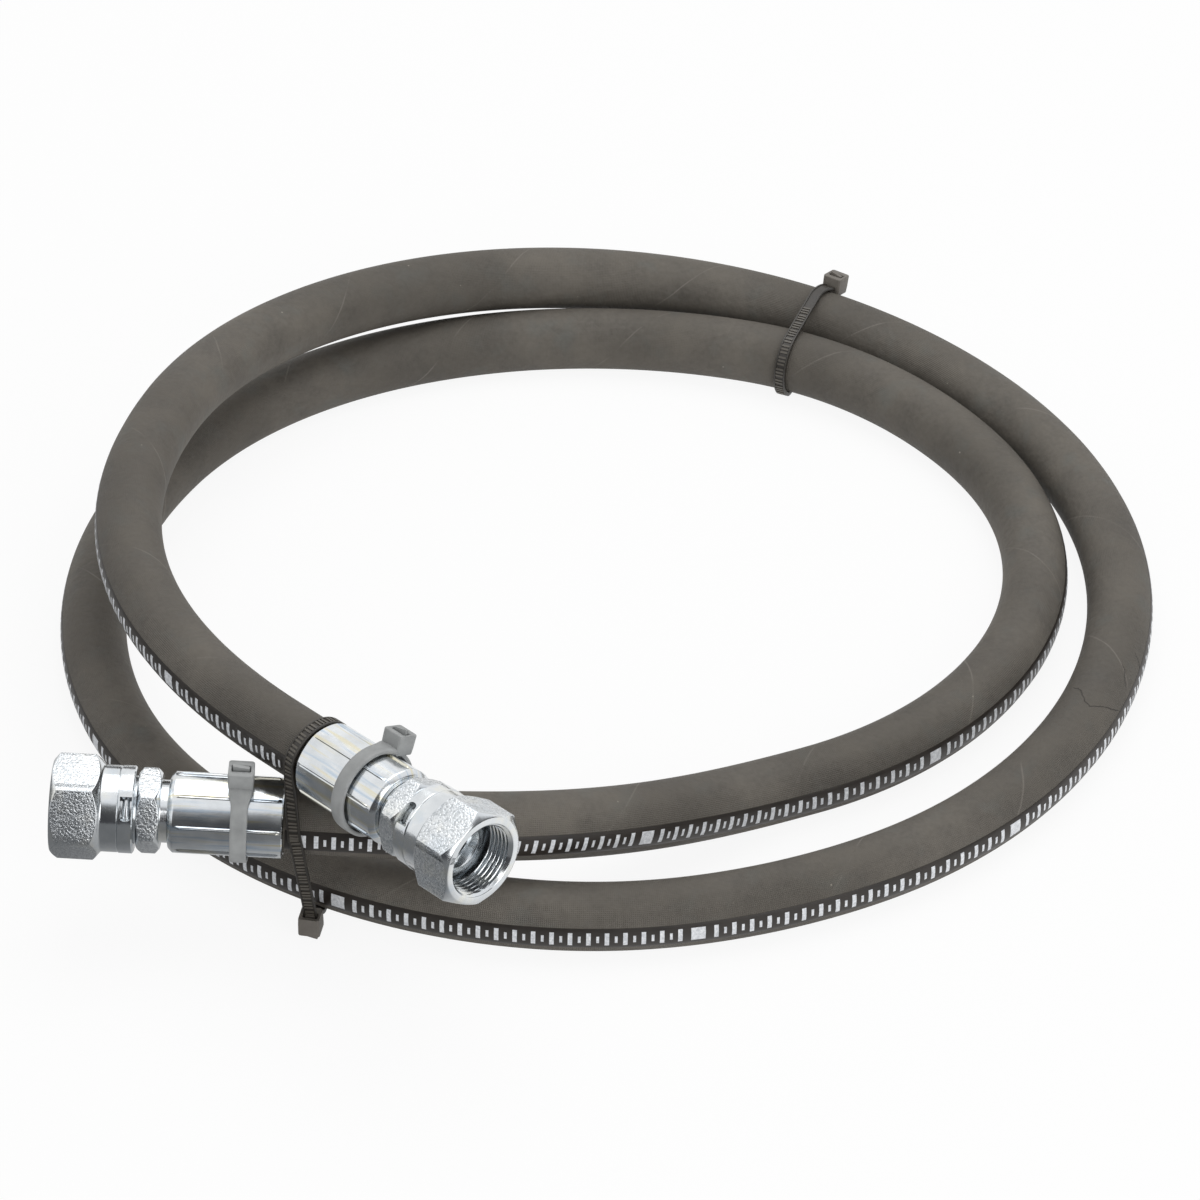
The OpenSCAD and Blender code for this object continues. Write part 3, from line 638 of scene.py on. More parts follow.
def ferrule(fit, name):
    step = 360 / RIDGES
    beside = np.array([0.9, 1.7, 2.2, 2.7, 3.4, 4.4, 6, 9, 13, 18])
    near = np.concatenate([[-step / 2], -beside[::-1], [0], beside])
    offset = np.tile(near, RIDGES)
    turns = np.radians(offset + FIRST_RIDGE + np.repeat(np.arange(RIDGES), len(near)) * step)
    flat = -FLAT_SINK * (1 - np.cos(2 * math.pi * offset / step)) / 2
    # a ridge has steep sides and a fine groove along its middle, where two dies met
    rise = step01(np.abs(offset), RIDGE_HALF, RIDGE_HALF - 1)
    ridge = RIDGE_H * rise - SEAM_DEPTH * np.exp(-(offset / SEAM_HALF) ** 2)
    ridge = np.where(np.abs(offset) < 4, ridge, 0)
    along = np.hstack([[0.5, 0.9, 1.3, 1.7, 2.2], np.linspace(4, 28, 13), [29.4, 30.0, 30.4, 30.8, 31.2]])
    fade = step01(along, 0.7, 2.0) * (1 - step01(along, 29.6, 30.9))
    walk = [(0.0, FERRULE_BORE_R, 0.25), (0.0, FERRULE_R - 0.55, 0.3)]
    walk += [(x, FERRULE_R + flat + f * ridge, 0) for x, f in zip(along, fade)]
    walk += [(FERRULE_LEN - FERRULE_TAPER, FERRULE_R + flat, 0.35), (FERRULE_LEN, END_FACE_R, 0.4),
             (FERRULE_LEN, LIP_R, 0.2), (FERRULE_LEN - LIP_T, LIP_R, 0.2),
             (FERRULE_LEN - LIP_T, FERRULE_BORE_R, 0.2)]
    return turned(fit, name, *outline(walk, turns), turns, sharp=40)


# ---- Hexagons ----
CORNER_CUT, LAND_HALF = 0.12, 0.8


def corner_turn(turns, roll):
    """Angle from the middle of a hexagon's flat, 30 degrees at its corners."""
    return np.radians(np.mod(np.degrees(turns) - roll, 60) - 30)


def hexagon_r(turns, roll, across):
    """Radius of a hexagon at each turn, with narrow turned lands at its corners."""
    flat = across / 2 / np.cos(corner_turn(turns, roll))
    return np.minimum(flat, across / 2 / math.cos(math.pi / 6) - CORNER_CUT)


def corner_land(corner):
    return [(corner - LAND_HALF, corner + LAND_HALF, 2)]


def hexagon_stretches(roll, sides, steps):
    """Stretches of turns that meet a hexagon's corners, with the lands on both sides of them."""
    parts = []
    for corner in [roll + 60 * side for side in sides]:
        parts += corner_land(corner) + [(corner + LAND_HALF, corner + 60 - LAND_HALF, steps)]
    return parts


def flat_faces(x, r, turns, roll, across, start, end):
    """1 for the faces that lie on a hexagon's flats and 0 for the rest."""
    on = (np.abs(r - hexagon_r(turns, roll, across)) < 0.02) & (x > start) & (x < end)
    land = np.cos(corner_turn(turns, roll - 0.5)) < math.cos(math.radians(29.4))
    both = on & np.roll(on, -1, 0)
    return (both & np.roll(both, -1, 1) & ~(land & np.roll(land, -1))).astype(int).ravel()


# ---- Hose tail: barbed stem, neck, hexagon, cone and fluid passage ----
TAIL_AF, FIT_HEX_X, TAIL_HEX_LEN, NECK_R, JOURNAL_R = 22.0, 35.3, 6.7, 9.0, 9.7
STEM_END_X, STEM_R, PASSAGE_R = 1.5, 6.05, 4.75
BARBS, BARB_PITCH, BARB_DEPTH = 5, 4.5, 0.35
COLLAR_START_X, COLLAR_END_X = 29.8, 33.1
CONE_START_X, CONE_END_X, CONE_SMALL_R, NOSE_BORE_R = 49.8, 57.5, 8.1, 6.4
WIRE_X, WIRE_RING_R, WIRE_R, GROOVE_R = 44.8, 9.775, 1.0, 1.08
RING_X, RING_SEAT_R, RING_T, GROOVE_GAP = 53.0, 8.15, 1.5, 0.08


def groove_reach(x):
    """How far the wire's half-round groove reaches from the wire's ring, at a place along the axis."""
    return math.sqrt(max(GROOVE_R ** 2 - (x - WIRE_X) ** 2, 0))


def hose_tail(fit, name):
    roll = fit["roll"]
    turns = np.radians(spread(hexagon_stretches(roll, range(6), 10)))
    hexagon = hexagon_r(turns, roll, TAIL_AF)
    small, slope = TAIL_AF / 2 - 0.2, 0.8
    end = FIT_HEX_X + TAIL_HEX_LEN
    rise = slope * (hexagon - small)
    walk = [(STEM_END_X, STEM_R - 0.8, 0.2), (STEM_END_X + 1.6, STEM_R, 0.2)]
    for k in range(BARBS):
        x = STEM_END_X + 4 + BARB_PITCH * k
        walk += [(x, STEM_R, 0.05), (x, STEM_R - BARB_DEPTH, 0.05), (x + 2, STEM_R, 0.05)]
    collar_r = LIP_R - 0.1
    walk += [(COLLAR_START_X, STEM_R, 0.2), (COLLAR_START_X, collar_r, 0.1), (COLLAR_END_X, collar_r, 0.1),
             (COLLAR_END_X, NECK_R, 0.2), (FIT_HEX_X, NECK_R, 0.2), (FIT_HEX_X, small, 0.15),
             (FIT_HEX_X + rise, hexagon, 0.12), (end - rise, hexagon, 0.12), (end, small, 0.15),
             (end, JOURNAL_R, 0.15)]
    reach = math.sqrt(GROOVE_R ** 2 - (JOURNAL_R - WIRE_RING_R) ** 2)
    walk += [(x, WIRE_RING_R - groove_reach(x), 0) for x in WIRE_X + reach * np.linspace(-1, 1, 9)]
    walk += [(CONE_START_X, JOURNAL_R, 0.3)]
    cone = lambda x: JOURNAL_R + (CONE_SMALL_R - JOURNAL_R) * (x - CONE_START_X) / (CONE_END_X - CONE_START_X)
    half = RING_T / 2 + GROOVE_GAP
    walk += [(RING_X - half, cone(RING_X - half), 0.08), (RING_X - half, RING_SEAT_R, 0.08),
             (RING_X + half, RING_SEAT_R, 0.08), (RING_X + half, cone(RING_X + half), 0.08),
             (CONE_END_X, CONE_SMALL_R, 0.4), (CONE_END_X, NOSE_BORE_R, 0.3),
             (CONE_END_X - 3, PASSAGE_R, 0.3), (STEM_END_X, PASSAGE_R, 0.2)]
    x, r = outline(walk, turns)
    finish = flat_faces(x, r, turns, roll, TAIL_AF, FIT_HEX_X, end)
    return turned(fit, name, x, r, turns, sharp=32, finish=finish)


# ---- Swivel nut: hexagon, skirt with the wire's slot, thread and bore ----
NUT_AF, FIT_NUT_X, SKIRT_R, HEX_START_X, MOUTH_X = 27.0, 42.7, 12.6, 52.5, 66.5
THREAD_CREST_R, THREAD_ROOT_R, THREAD_PITCH, MOUTH_CHAMFER, NUT_BORE_R = 10.188, 11.05, 1.5, 1.1, 9.85
THREAD_LEN, RELIEF_LEN, THREAD_LINES = 7.875, 2.5, 12
BAND_END_X, BAND_PROUD = 46.9, 0.12
SLOT_W, SLOT_LEN, SLOT_TURN, SLOT_STEPS = 3.4, 9.0, 107.0, 12


def swivel_nut(fit, name):
    roll = fit["roll"]
    slot_middle = roll + SLOT_TURN
    half = math.degrees((SLOT_LEN - SLOT_W) / 2 / SKIRT_R)
    reach = math.degrees(SLOT_LEN / 2 / SKIRT_R) + 1.5
    # turns at the hexagon's corners, at the slot's sides, and evenly between them
    stops = [roll + 60 + LAND_HALF] + [slot_middle + part for part in (-reach, -half, half, reach)]
    stops += [roll + 120 - LAND_HALF]
    parts = corner_land(roll + 60) + list(zip(stops, stops[1:], (3, 1, 8, 1, 2)))
    turns = np.radians(spread(parts + hexagon_stretches(roll, range(2, 7), 14)))
    hexagon = hexagon_r(turns, roll, NUT_AF)
    small, slope = NUT_AF / 2 - 0.4, 0.8
    rise = slope * (hexagon - small)
    cut_x = WIRE_X + SLOT_W / 2 * np.sin(np.linspace(-math.pi / 2, math.pi / 2, SLOT_STEPS + 1))
    plain_r, relief_r = SKIRT_R - BAND_PROUD, THREAD_ROOT_R + 0.2
    walk = [(FIT_NUT_X, NUT_BORE_R, 0.15), (FIT_NUT_X, SKIRT_R - 0.6, 0.15), (FIT_NUT_X + 0.35, plain_r, 0)]
    walk += [(x, SKIRT_R, 0) for x in cut_x]
    # a fine groove parts the wire's band from the plain band
    walk += [(BAND_END_X, SKIRT_R, 0.05), (BAND_END_X + 0.2, SKIRT_R - 0.3, 0.05),
             (BAND_END_X + 0.4, plain_r, 0.05), (HEX_START_X - 0.5, plain_r, 0.3), (HEX_START_X, small, 0.1),
             (HEX_START_X + rise, hexagon, 0.13), (MOUTH_X - rise, hexagon, 0.13), (MOUTH_X, small, 0.25),
             (MOUTH_X, relief_r, 0.12)]
    # a right-hand thread that fades in at the chamfer and out at the relief
    thread_end = MOUTH_X - MOUTH_CHAMFER - THREAD_LEN
    for x in np.arange(MOUTH_X - 0.25, thread_end + 0.01, -THREAD_PITCH / THREAD_LINES):
        phase = 2 * math.pi * (x / THREAD_PITCH) + turns
        form = np.clip(0.5 + 0.62 * np.sin(phase), 0, 1)
        r = THREAD_CREST_R + (THREAD_ROOT_R - THREAD_CREST_R) * form
        chamfer = relief_r - (MOUTH_X - x) * (relief_r - THREAD_CREST_R) / MOUTH_CHAMFER
        walk.append((x, np.maximum(r, chamfer), 0))
    walk += [(thread_end, relief_r, 0.1), (thread_end - RELIEF_LEN, relief_r, 0.3),
             (thread_end - RELIEF_LEN, NUT_BORE_R, 0.15)]
    walk += [(x, max(WIRE_RING_R + groove_reach(x), NUT_BORE_R), 0) for x in cut_x[::-1]]
    x, r = outline(walk, turns)
    # the slot's rounded ends: its lines draw out beyond the straight part
    turn_grid = np.broadcast_to(turns, x.shape).copy()
    first = int(np.argmin(np.abs(np.degrees(turns) - (slot_middle - half))))
    last = first + 8
    outer_line = int(np.argmin(np.abs(x[:, 0] - cut_x[0]) + np.abs(r[:, 0] - SKIRT_R)))
    inner_line = len(x) - SLOT_STEPS - 1
    bulge = (SLOT_W / 2) * np.cos(np.linspace(-math.pi / 2, math.pi / 2, SLOT_STEPS + 1)) / SKIRT_R
    for line in (outer_line, inner_line):
        turn_grid[line:line + SLOT_STEPS + 1, first] -= bulge
        turn_grid[line:line + SLOT_STEPS + 1, last] += bulge
    finish = flat_faces(x, r, turns, roll, NUT_AF, HEX_START_X, MOUTH_X)
    window = (outer_line, inner_line, SLOT_STEPS, first, last)
    return turned(fit, name, x, r, turn_grid, sharp=32, finish=finish, cut=window)


def torus(fit, name, middle_x, ring_r, thick_r):
    turns = np.linspace(0, 2 * math.pi, 96, endpoint=False)
    round_ = np.linspace(0, 2 * math.pi, 20, endpoint=False)[:, None] + 0 * turns
    return turned(fit, name, middle_x + thick_r * np.sin(round_), ring_r + thick_r * np.cos(round_), turns)


def wire_mesh(fit, name):
    """The retaining wire, bent most of the way round."""
    turns = np.radians(np.linspace(0, 335, 110))[:, None]
    section = np.linspace(0, 2 * math.pi, 16, endpoint=False)[None]
    x = WIRE_X + WIRE_R * np.sin(section) + 0 * turns
    grid = placed(fit, x, WIRE_RING_R + WIRE_R * np.cos(section), turns)
    return open_sweep(name, grid, turns[:, 0] * WIRE_RING_R, section[0] * WIRE_R)


# ---- Geometry nodes: bars set along a path ----
BAR_SIZES = ("Bar Length", "Bar Width", "Bar Height", "Bend Radius")


def bars_tree():
    """Bars on places: one bar on each point, turned by the point's own rotation and bent round a cylinder."""
    tree = bpy.data.node_groups.new("bars_on_places", "GeometryNodeTree")
    face = tree.interface
    face.new_socket("Places", in_out="INPUT", socket_type="NodeSocketGeometry")
    for name in BAR_SIZES:
        face.new_socket(name, in_out="INPUT", socket_type="NodeSocketFloat").default_value = 1.0
    face.new_socket("Bars", in_out="OUTPUT", socket_type="NodeSocketGeometry")
    given = add_node(tree, "NodeGroupInput").outputs
    size = {0: given["Bar Length"], 1: given["Bar Width"], 2: given["Bar Height"]}
    size = add_node(tree, "ShaderNodeCombineXYZ", size)
    bar = {"Size": size.outputs[0], "Vertices X": 2, "Vertices Y": 7, "Vertices Z": 2}
    bar = add_node(tree, "GeometryNodeMeshCube", bar)
    # each corner moves round the cylinder: across becomes an angle, and height adds to the radius
    x, y, z = Value(tree, add_node(tree, "GeometryNodeInputPosition").outputs[0]).parts()
    bend = Value(tree, given["Bend Radius"])
    radius, angle = bend + z, y / bend
    across, height = radius * angle.math("SINE"), radius * angle.math("COSINE") - bend
    bent = x.feed("ShaderNodeCombineXYZ", {0: x, 1: across, 2: height})
    bar = add_node(tree, "GeometryNodeSetPosition", {"Geometry": bar.outputs["Mesh"], "Position": bent})
    turn = add_node(tree, "GeometryNodeInputNamedAttribute", {"Name": "turn"}, data_type="FLOAT_VECTOR")
    turn = add_node(tree, "FunctionNodeEulerToRotation", {0: turn.outputs["Attribute"]})
    many = {"Points": given["Places"], "Instance": bar.outputs[0], "Rotation": turn.outputs[0]}
    many = add_node(tree, "GeometryNodeInstanceOnPoints", many)
    real = add_node(tree, "GeometryNodeRealizeInstances", {"Geometry": many.outputs[0]})
    add_node(tree, "NodeGroupOutput", {"Bars": real.outputs[0]})
    return tree


def bars(name, places, axes, sizes):
    """One mesh of bars, with each bar's length, width and height directions in axes. sizes are BAR_SIZES."""
    points = bpy.data.meshes.new(name + "_places")
    points.from_pydata((places * MM).tolist(), [], [])
    turns = points.attributes.new("turn", "FLOAT_VECTOR", "POINT")
    eulers = [tuple(Matrix(a.T.tolist()).to_euler("XYZ")) for a in axes]
    turns.data.foreach_set("vector", np.array(eulers, np.float32).ravel())
    holder = add_object(name + "_places", points)
    modifier = holder.modifiers.new("bars", "NODES")
    modifier.node_group = BARS
    inputs = {s.name: s.identifier for s in BARS.interface.items_tree if s.in_out == "INPUT"}
    for key, value in zip(BAR_SIZES, sizes):
        modifier[inputs[key]] = value * MM
    holder.update_tag()
    evaluated = holder.evaluated_get(bpy.context.evaluated_depsgraph_get())
    mesh = bpy.data.meshes.new_from_object(evaluated)
    mesh.name = name
    bpy.data.objects.remove(holder)
    return mesh


BARS = bars_tree()


def joined(name, parts):
    """One mesh of several, given as (mesh, look)."""
    whole = bmesh.new()
    looks = list(dict.fromkeys(look for _, look in parts))
    for mesh, look in parts:
        start = len(whole.faces)
        whole.from_mesh(mesh)
        whole.faces.ensure_lookup_table()
        for face in whole.faces[start:]:
            face.material_index = looks.index(look)
    made = bpy.data.meshes.new(name)
    whole.to_mesh(made)
    whole.free()
    for look in looks:
        made.materials.append(look)
    return made


# ---- Cable ties ----
def rounded_box(half_a, half_b, corner, steps):
    """Points round a rectangle with rounded corners, anticlockwise, with the same count for each corner."""
    turns = (np.arange(4)[:, None] * math.pi / 2 + np.linspace(0, math.pi / 2, steps)).ravel()
    side_a, side_b = np.repeat([1, -1, -1, 1], steps), np.repeat([1, 1, -1, -1], steps)
    return np.stack([side_a * (half_a - corner) + corner * np.cos(turns),
                     side_b * (half_b - corner) + corner * np.sin(turns)], 1)


HEAD_LEN, HEAD_H, HEAD_WALL, WINDOW_PLAY, HEAD_SINK = 6.5, 6.0, 1.0, 0.6, 0.5
MARKER_W, MARKER_FLARE, MARKER_THICKER, MARKER_STUB = 4.8, 0.42, 0.5, 0.8


def tie_head(name, place, across, up, strap_w, stub, look):
    """A tie's head. across is the strap's width, and up the way the head's window opens."""
    half_w = (strap_w + WINDOW_PLAY) / 2 + HEAD_WALL
    window_a, window_b = STRAP_T / 2 + WINDOW_PLAY, (strap_w + WINDOW_PLAY) / 2
    along = np.cross(across, up)
    set_out = lambda ring, rise: place + ring[:, :1] * along + ring[:, 1:] * across + rise * up
    # from the foot up the outside, over the rim and down through the window
    outer = [(0.0, 0.90), (0.35, 0.94), (2.2, 0.98)]
    outer += [(HEAD_H - 0.45, 1.0), (HEAD_H - 0.13, 0.985), (HEAD_H, 0.95)]
    inner = [(HEAD_H, 0.22), (HEAD_H - 0.12, 0.08), (HEAD_H - 0.35, 0.0), (0.6, 0.0)]
    rings = [set_out(rounded_box(HEAD_LEN / 2 * s, half_w * (0.5 + s / 2), 0.75, 6), h) for h, s in outer]
    rings += [set_out(rounded_box(window_a + grow, window_b + grow, 0.25 + grow, 6), h) for h, grow in inner]
    body = wrapped_grid(name, np.array(rings), sharp=50)
    # the strap's cut end stands in the window, cut off aslant
    section = rounded_box(STRAP_T / 2, strap_w / 2, 0.3, 4)
    tops = np.array([0.3, 1.5, HEAD_H + stub - 0.4, HEAD_H + stub])
    slant = 0.45 * section[:, 1:] / strap_w * 2
    cut = [set_out(section * [0.9 if i == 3 else 1, 1], h + slant * (i >= 2)) for i, h in enumerate(tops)]
    return [(body, look), (open_sweep(name + "_end", np.array(cut), tops, sharp=40), look)]


def strap_section(width, thick, rails):
    """A strap's section as (across, height): rounded edges, and raised rails beside a sunken band."""
    w, t = width / 2, thick / 2
    under = [(w - 0.2, -t), (w, -t * 0.4)]
    if rails:
        over = [(w, t * 0.75), (w - 0.12, t), (w - 0.55, t), (w - 0.65, t - 0.28)]
        middle = t - 0.28
    else:
        over, middle = [(w, t * 0.45), (w - 0.25, t * 0.9), (w * 0.5, t)], t * 1.02
    mirror = lambda side: [(-a, h) for a, h in side[::-1]]
    return np.array(mirror(under) + [(0.0, -t)] + under + over + [(0.0, middle)] + mirror(over))


def marker_tie(fit, name, at_x, head_turn, flare_side, head_lean):
    """A smooth strap round a ferrule. It widens on one side of its head, which may lean, in degrees."""
    r_mid = FERRULE_R + RIDGE_H + 0.1 + STRAP_T / 2
    turns = np.linspace(0, 2 * math.pi, 160, endpoint=False)
    section = strap_section(MARKER_W, STRAP_T, False)
    widen = 1 + MARKER_FLARE * (1 - step01(np.degrees(turns), 12, 36))
    thicken = 1 + MARKER_THICKER * (1 - step01(np.degrees(turns), 12, 30))
    angle = math.radians(head_turn) + flare_side * turns
    across = section[None, :, 0] * widen[:, None]
    r = r_mid + section[None, :, 1] * thicken[:, None] + (thicken[:, None] - 1) * STRAP_T / 2
    grid = placed(fit, at_x + across, r, angle[:, None])
    strap = [(wrapped_grid(name, grid, np.append(turns, 2 * math.pi) * r_mid, sharp=45), GREY_NYLON)]
    ax, ay, az = fit["axes"]
    place = fit["at"] + at_x * ax + (r_mid + STRAP_T / 2 - HEAD_SINK) * between(head_turn, ay, az)
    window_way = between(head_turn + head_lean, ay, az)
    head = tie_head(name + "_head", place, ax, window_way, MARKER_W, MARKER_STUB, GREY_NYLON)
    return joined(name, strap + head)


# ---- Straps that bind runs of the hose ----
STRAP_R = HOSE_R + STRIP_T + SOFT_GAP + STRAP_T / 2
UP = np.array([0.0, 0.0, 1.0])


def outward(way):
    return unit(np.cross(way, UP))


def touch(d, out):
    """Elevation in degrees at which a strap that runs along d touches a hose, whose outward way is out."""
    return math.degrees(math.atan2(np.dot(d, out), -d[2]))


def wrap(centre, way, start, end, r=STRAP_R):
    """Stops every 3 degrees round a hose, as (place, way along the hose, direction away from it)."""
    stops = []
    for angle in np.linspace(start, end, max(3, int(abs(end - start) / 3))):
        n = between(angle, outward(way), UP)
        p = centre + r * n
        p[2] = kept_above(p[2], TIE_FLOOR + STRAP_T / 2, STRAP_EASE)
        stops.append((p, way, n))
    return stops


STRAP_STEP = 0.55


def strap_path(stops, closed):
    """Even stations on a strap: place, travel, across and away directions, and distance."""
    stops = stops + stops[:1] if closed else stops
    p, w, n = [np.array([s[i] for s in stops]) for i in range(3)]
    along = distances(p)
    s = np.linspace(0, along[-1], int(along[-1] / STRAP_STEP) + 1)
    s = s[:-1] if closed else s
    places, ways, away = sample(s, along, p), unit(sample(s, along, w)), unit(sample(s, along, n))
    for _ in range(6):
        before, after = np.roll(places, 1, 0), np.roll(places, -1, 0)
        eased = (before + 2 * places + after) / 4
        places = eased if closed else np.concatenate([places[:1], eased[1:-1], places[-1:]])
    travel = np.roll(places, -1, 0) - np.roll(places, 1, 0)
    if not closed:
        travel[0], travel[-1] = places[1] - places[0], places[-1] - places[-2]
    travel = unit(travel)
    across = unit(ways - np.sum(ways * travel, 1, keepdims=True) * travel)
    normal = np.cross(travel, across)
    across = np.where(np.sum(normal * away, 1, keepdims=True) < 0, -across, across)
    return places, travel, across, np.cross(travel, across), s


def bundle_tie(name, path, closed, bare, head):
    """A strap with rails and teeth, and its head. bare is where it is smooth, as (from, to) distances."""
    places, travel, across, away, s = path
    section = strap_section(STRAP_W, STRAP_T, True)
    grid = places[:, None] + section[None, :, :1] * across[:, None] + section[None, :, 1:] * away[:, None]
    if closed:
        strap = wrapped_grid(name, grid, np.append(s, s[-1] + STRAP_STEP), sharp=45)
    else:
        strap = open_sweep(name, grid, s, sharp=45)
    where = np.arange(s[0] + 0.6, s[-1] - 0.4, TOOTH_PITCH)
    where = where[~np.any([(where > a) & (where < b) for a, b in bare], axis=0)]
    mid = np.clip(np.searchsorted(s, where), 0, len(s) - 1)
    axes = np.stack([travel[mid], across[mid], away[mid]], 1)
    teeth = places[mid] + away[mid] * (STRAP_T / 2 - TOOTH_SINK)
    teeth = bars(name + "_teeth", teeth, axes, (TOOTH_LEN, TOOTH_W, TOOTH_H, FLAT_BEND))
    return joined(name, [(strap, BLACK_NYLON), (teeth, LIGHTER_TOOTH_NYLON)] + head)


TOOTH_PITCH, TOOTH_LEN, TOOTH_W, TOOTH_H, TOOTH_SINK, FLAT_BEND = 1.3, 0.6, STRAP_W - 1.3, 0.42, 0.2, 500.0
FERRULE_TO_STRAP, FRONT_SLANT, FRONT_STUB, HEAD_GAP, FRONT_MEET, FRONT_BARE = 3.4, 18.0, 2.6, 3.0, -50.0, 9.0
BACK_SLANT, BACK_STUB, BACK_HEAD_ELEVATION, BACK_HEAD_LEAN = -10.0, 0.4, 29.0, 48.0
# How far the back strap is bare before and after its head
BACK_BARE = (20.0, 6.0)


def slanted_way(a, slant):
    way = coil_way(np.array([a]))[0]
    return heading(math.degrees(math.atan2(way[1], way[0])) + slant, 0)


def front_tie():
    """Runs from its head under the outer loop, up behind, over both ends and down into the head again."""
    a, b = END_A + FERRULE_TO_STRAP * WAY_A, END_B - FERRULE_TO_STRAP * WAY_B
    o = coil_point(np.array([FRONT_TIE_ANGLE]))[0]
    way_o = slanted_way(FRONT_TIE_ANGLE, FRONT_SLANT)
    r_o = STRAP_R / math.cos(math.radians(FRONT_SLANT))
    out = outward(way_o)
    window = o + (r_o + STRAP_T / 2 - HEAD_SINK + HEAD_LEN / 2 + HEAD_GAP) * out
    top = np.array([window[0], window[1], TIE_FLOOR + FRONT_STUB + HEAD_H])
    up_side = touch(b - o, outward(WAY_B))
    root = top - HEAD_H / 3 * UP - (HEAD_LEN / 2 - 1) * out
    stops = [(root, way_o, unit(out - UP))] + wrap(o, way_o, FRONT_MEET, touch(b - o, out) - 360, r_o)
    stops += wrap(b, WAY_B, up_side + 360 * (up_side < 0), touch(a - b, outward(WAY_B)))
    stops += wrap(a, WAY_A, touch(a - b, outward(WAY_A)), touch(top - a, outward(WAY_A)))
    stops += [(top + 0.5 * UP, way_o, out), (top - 2.5 * UP, way_o, out)]
    stops = [(p + COIL_CENTRE, w, n) for p, w, n in stops]
    head = tie_head("front_head", top + COIL_CENTRE, way_o, -UP, STRAP_W, FRONT_STUB, LIT_HEAD_NYLON)
    return bundle_tie("front_tie", strap_path(stops, False), False, [(0, FRONT_BARE)], head)


def back_tie():
    """Runs round the two loops where they lie side by side."""
    low, high = coil_point(np.array([BACK_TIE_ANGLE, BACK_TIE_ANGLE + 360]))
    way_low, way_high = coil_way(np.array([BACK_TIE_ANGLE]))[0], slanted_way(BACK_TIE_ANGLE + 360, BACK_SLANT)
    r_high = STRAP_R / math.cos(math.radians(BACK_SLANT))
    out_low, out_high = outward(way_low), outward(way_high)
    stops = wrap(high, way_high, touch(high - low, out_high), touch(low - high, out_high), r_high)
    stops += wrap(low, way_low, touch(low - high, out_low), touch(high - low, out_low) - 360)
    stops = [(p + COIL_CENTRE, w, n) for p, w, n in stops]
    head_way = between(BACK_HEAD_ELEVATION, out_high, UP)
    place = high + COIL_CENTRE + (r_high + STRAP_T / 2 - HEAD_SINK) * head_way
    path = strap_path(stops, True)
    near = path[4][int(np.argmin(np.linalg.norm(path[0] - place, axis=1)))]
    bare = [(near + lap - BACK_BARE[0], near + lap + BACK_BARE[1]) for lap in (0, path[4][-1])]
    # the head leans up, off the strap's own direction
    window_way = between(BACK_HEAD_ELEVATION + BACK_HEAD_LEAN, out_high, UP)
    head = tie_head("back_head", place, way_high, window_way, STRAP_W, BACK_STUB, LIT_HEAD_NYLON)
    return bundle_tie("back_tie", path, True, bare, head)


# ---- Marks on the strip: a plain scale, in place of any wording ----
TICK_PITCH, TICKS_PER_BLOCK, MARK_H = 2.5, 40, 0.1


def strip_marks():
    """A tall tick every 5 mm with a short one between, and a block every 100 mm."""
    first, last = HOSE_END_X + STRIP_EDGE + 4, HOSE_LENGTH - HOSE_END_X - STRIP_EDGE - 4
    step = np.arange(int((last - first) / TICK_PITCH))
    place = step % TICKS_PER_BLOCK
    block, beside = place == 0, (place == 1) | (place == TICKS_PER_BLOCK - 1)
    base_r = HOSE_R + 0.13
    meshes = []
    for name, chosen, length, width in (("tall", (step % 2 == 0) & ~block, 1.3, 4.6),
                                        ("short", (step % 2 == 1) & ~beside, 0.8, 2.4),
                                        ("block", block, 4.2, 4.6)):
        centre, _, way, out, up = on_route(first + TICK_PITCH * step[chosen])
        axes = np.stack([way, up, out], 1)
        meshes.append(bars("scale_" + name, centre + out * base_r, axes, (length, width, MARK_H, base_r)))
    return [(mesh, STRIP_INK) for mesh in meshes]


# ---- The strip, fittings, seals, wires and ties in place ----
strip = joined("layline", [(strip_mesh(), STRIP_RUBBER)] + strip_marks())
put(strip, "hose_layline_strip", "layline_strip", "strip_rubber")
SEAL_R = RING_T / 2
TWO_ZINCS = (ZINC_TURNED, ZINC_PITTED)
for end, fit in FITTINGS.items():
    seal = torus(fit, "ring", RING_X, RING_SEAT_R + GROOVE_GAP + SEAL_R, SEAL_R)
    put(ferrule(fit, "ferrule"), "crimped_ferrule_" + end, "ferrule_" + end, "zinc_plate", ZINC_CRIMPED)
    put(hose_tail(fit, "tail"), "barbed_tail_" + end, "hose_tail_" + end, "zinc_plate", *TWO_ZINCS)
    nut = swivel_nut(fit, "nut")
    put(nut, "hexagon_nut_" + end, "swivel_nut_" + end, "zinc_plate", *TWO_ZINCS, body="nut_" + end)
    put(seal, "cone_seal_" + end, "o_ring_" + end, "seal_rubber", SEAL_RUBBER)
    put(wire_mesh(fit, "wire"), "nut_wire_" + end, "retaining_wire_" + end, "bright_wire", BRIGHT_WIRE)

# each marker's place along its ferrule, its head's turn, the side where its strap widens, and the head's lean
for end, places in (("a", (12.6, 85.0, -1, 0.0)), ("b", (19.9, 42.0, 1, 25.0))):
    marker = marker_tie(FITTINGS[end], "marker", *places)
    put(marker, "marker_strap_" + end, "marker_tie_" + end, "grey_nylon")
put(front_tie(), "front_strap", "front_bundle_tie", "black_nylon")
put(back_tie(), "back_strap", "back_bundle_tie", "black_nylon")

# ---- Floor, world and lamps ----
FLOOR_REACH, FLOOR_Z = 6.0, -0.0003
WHITE = "#ffffff"
# What metal reflects: (place on the gradient, level), from an unlit room towards the viewer to white behind
SKY = [(0.3, 0.07), (0.48, 0.22), (0.6, 0.95)]
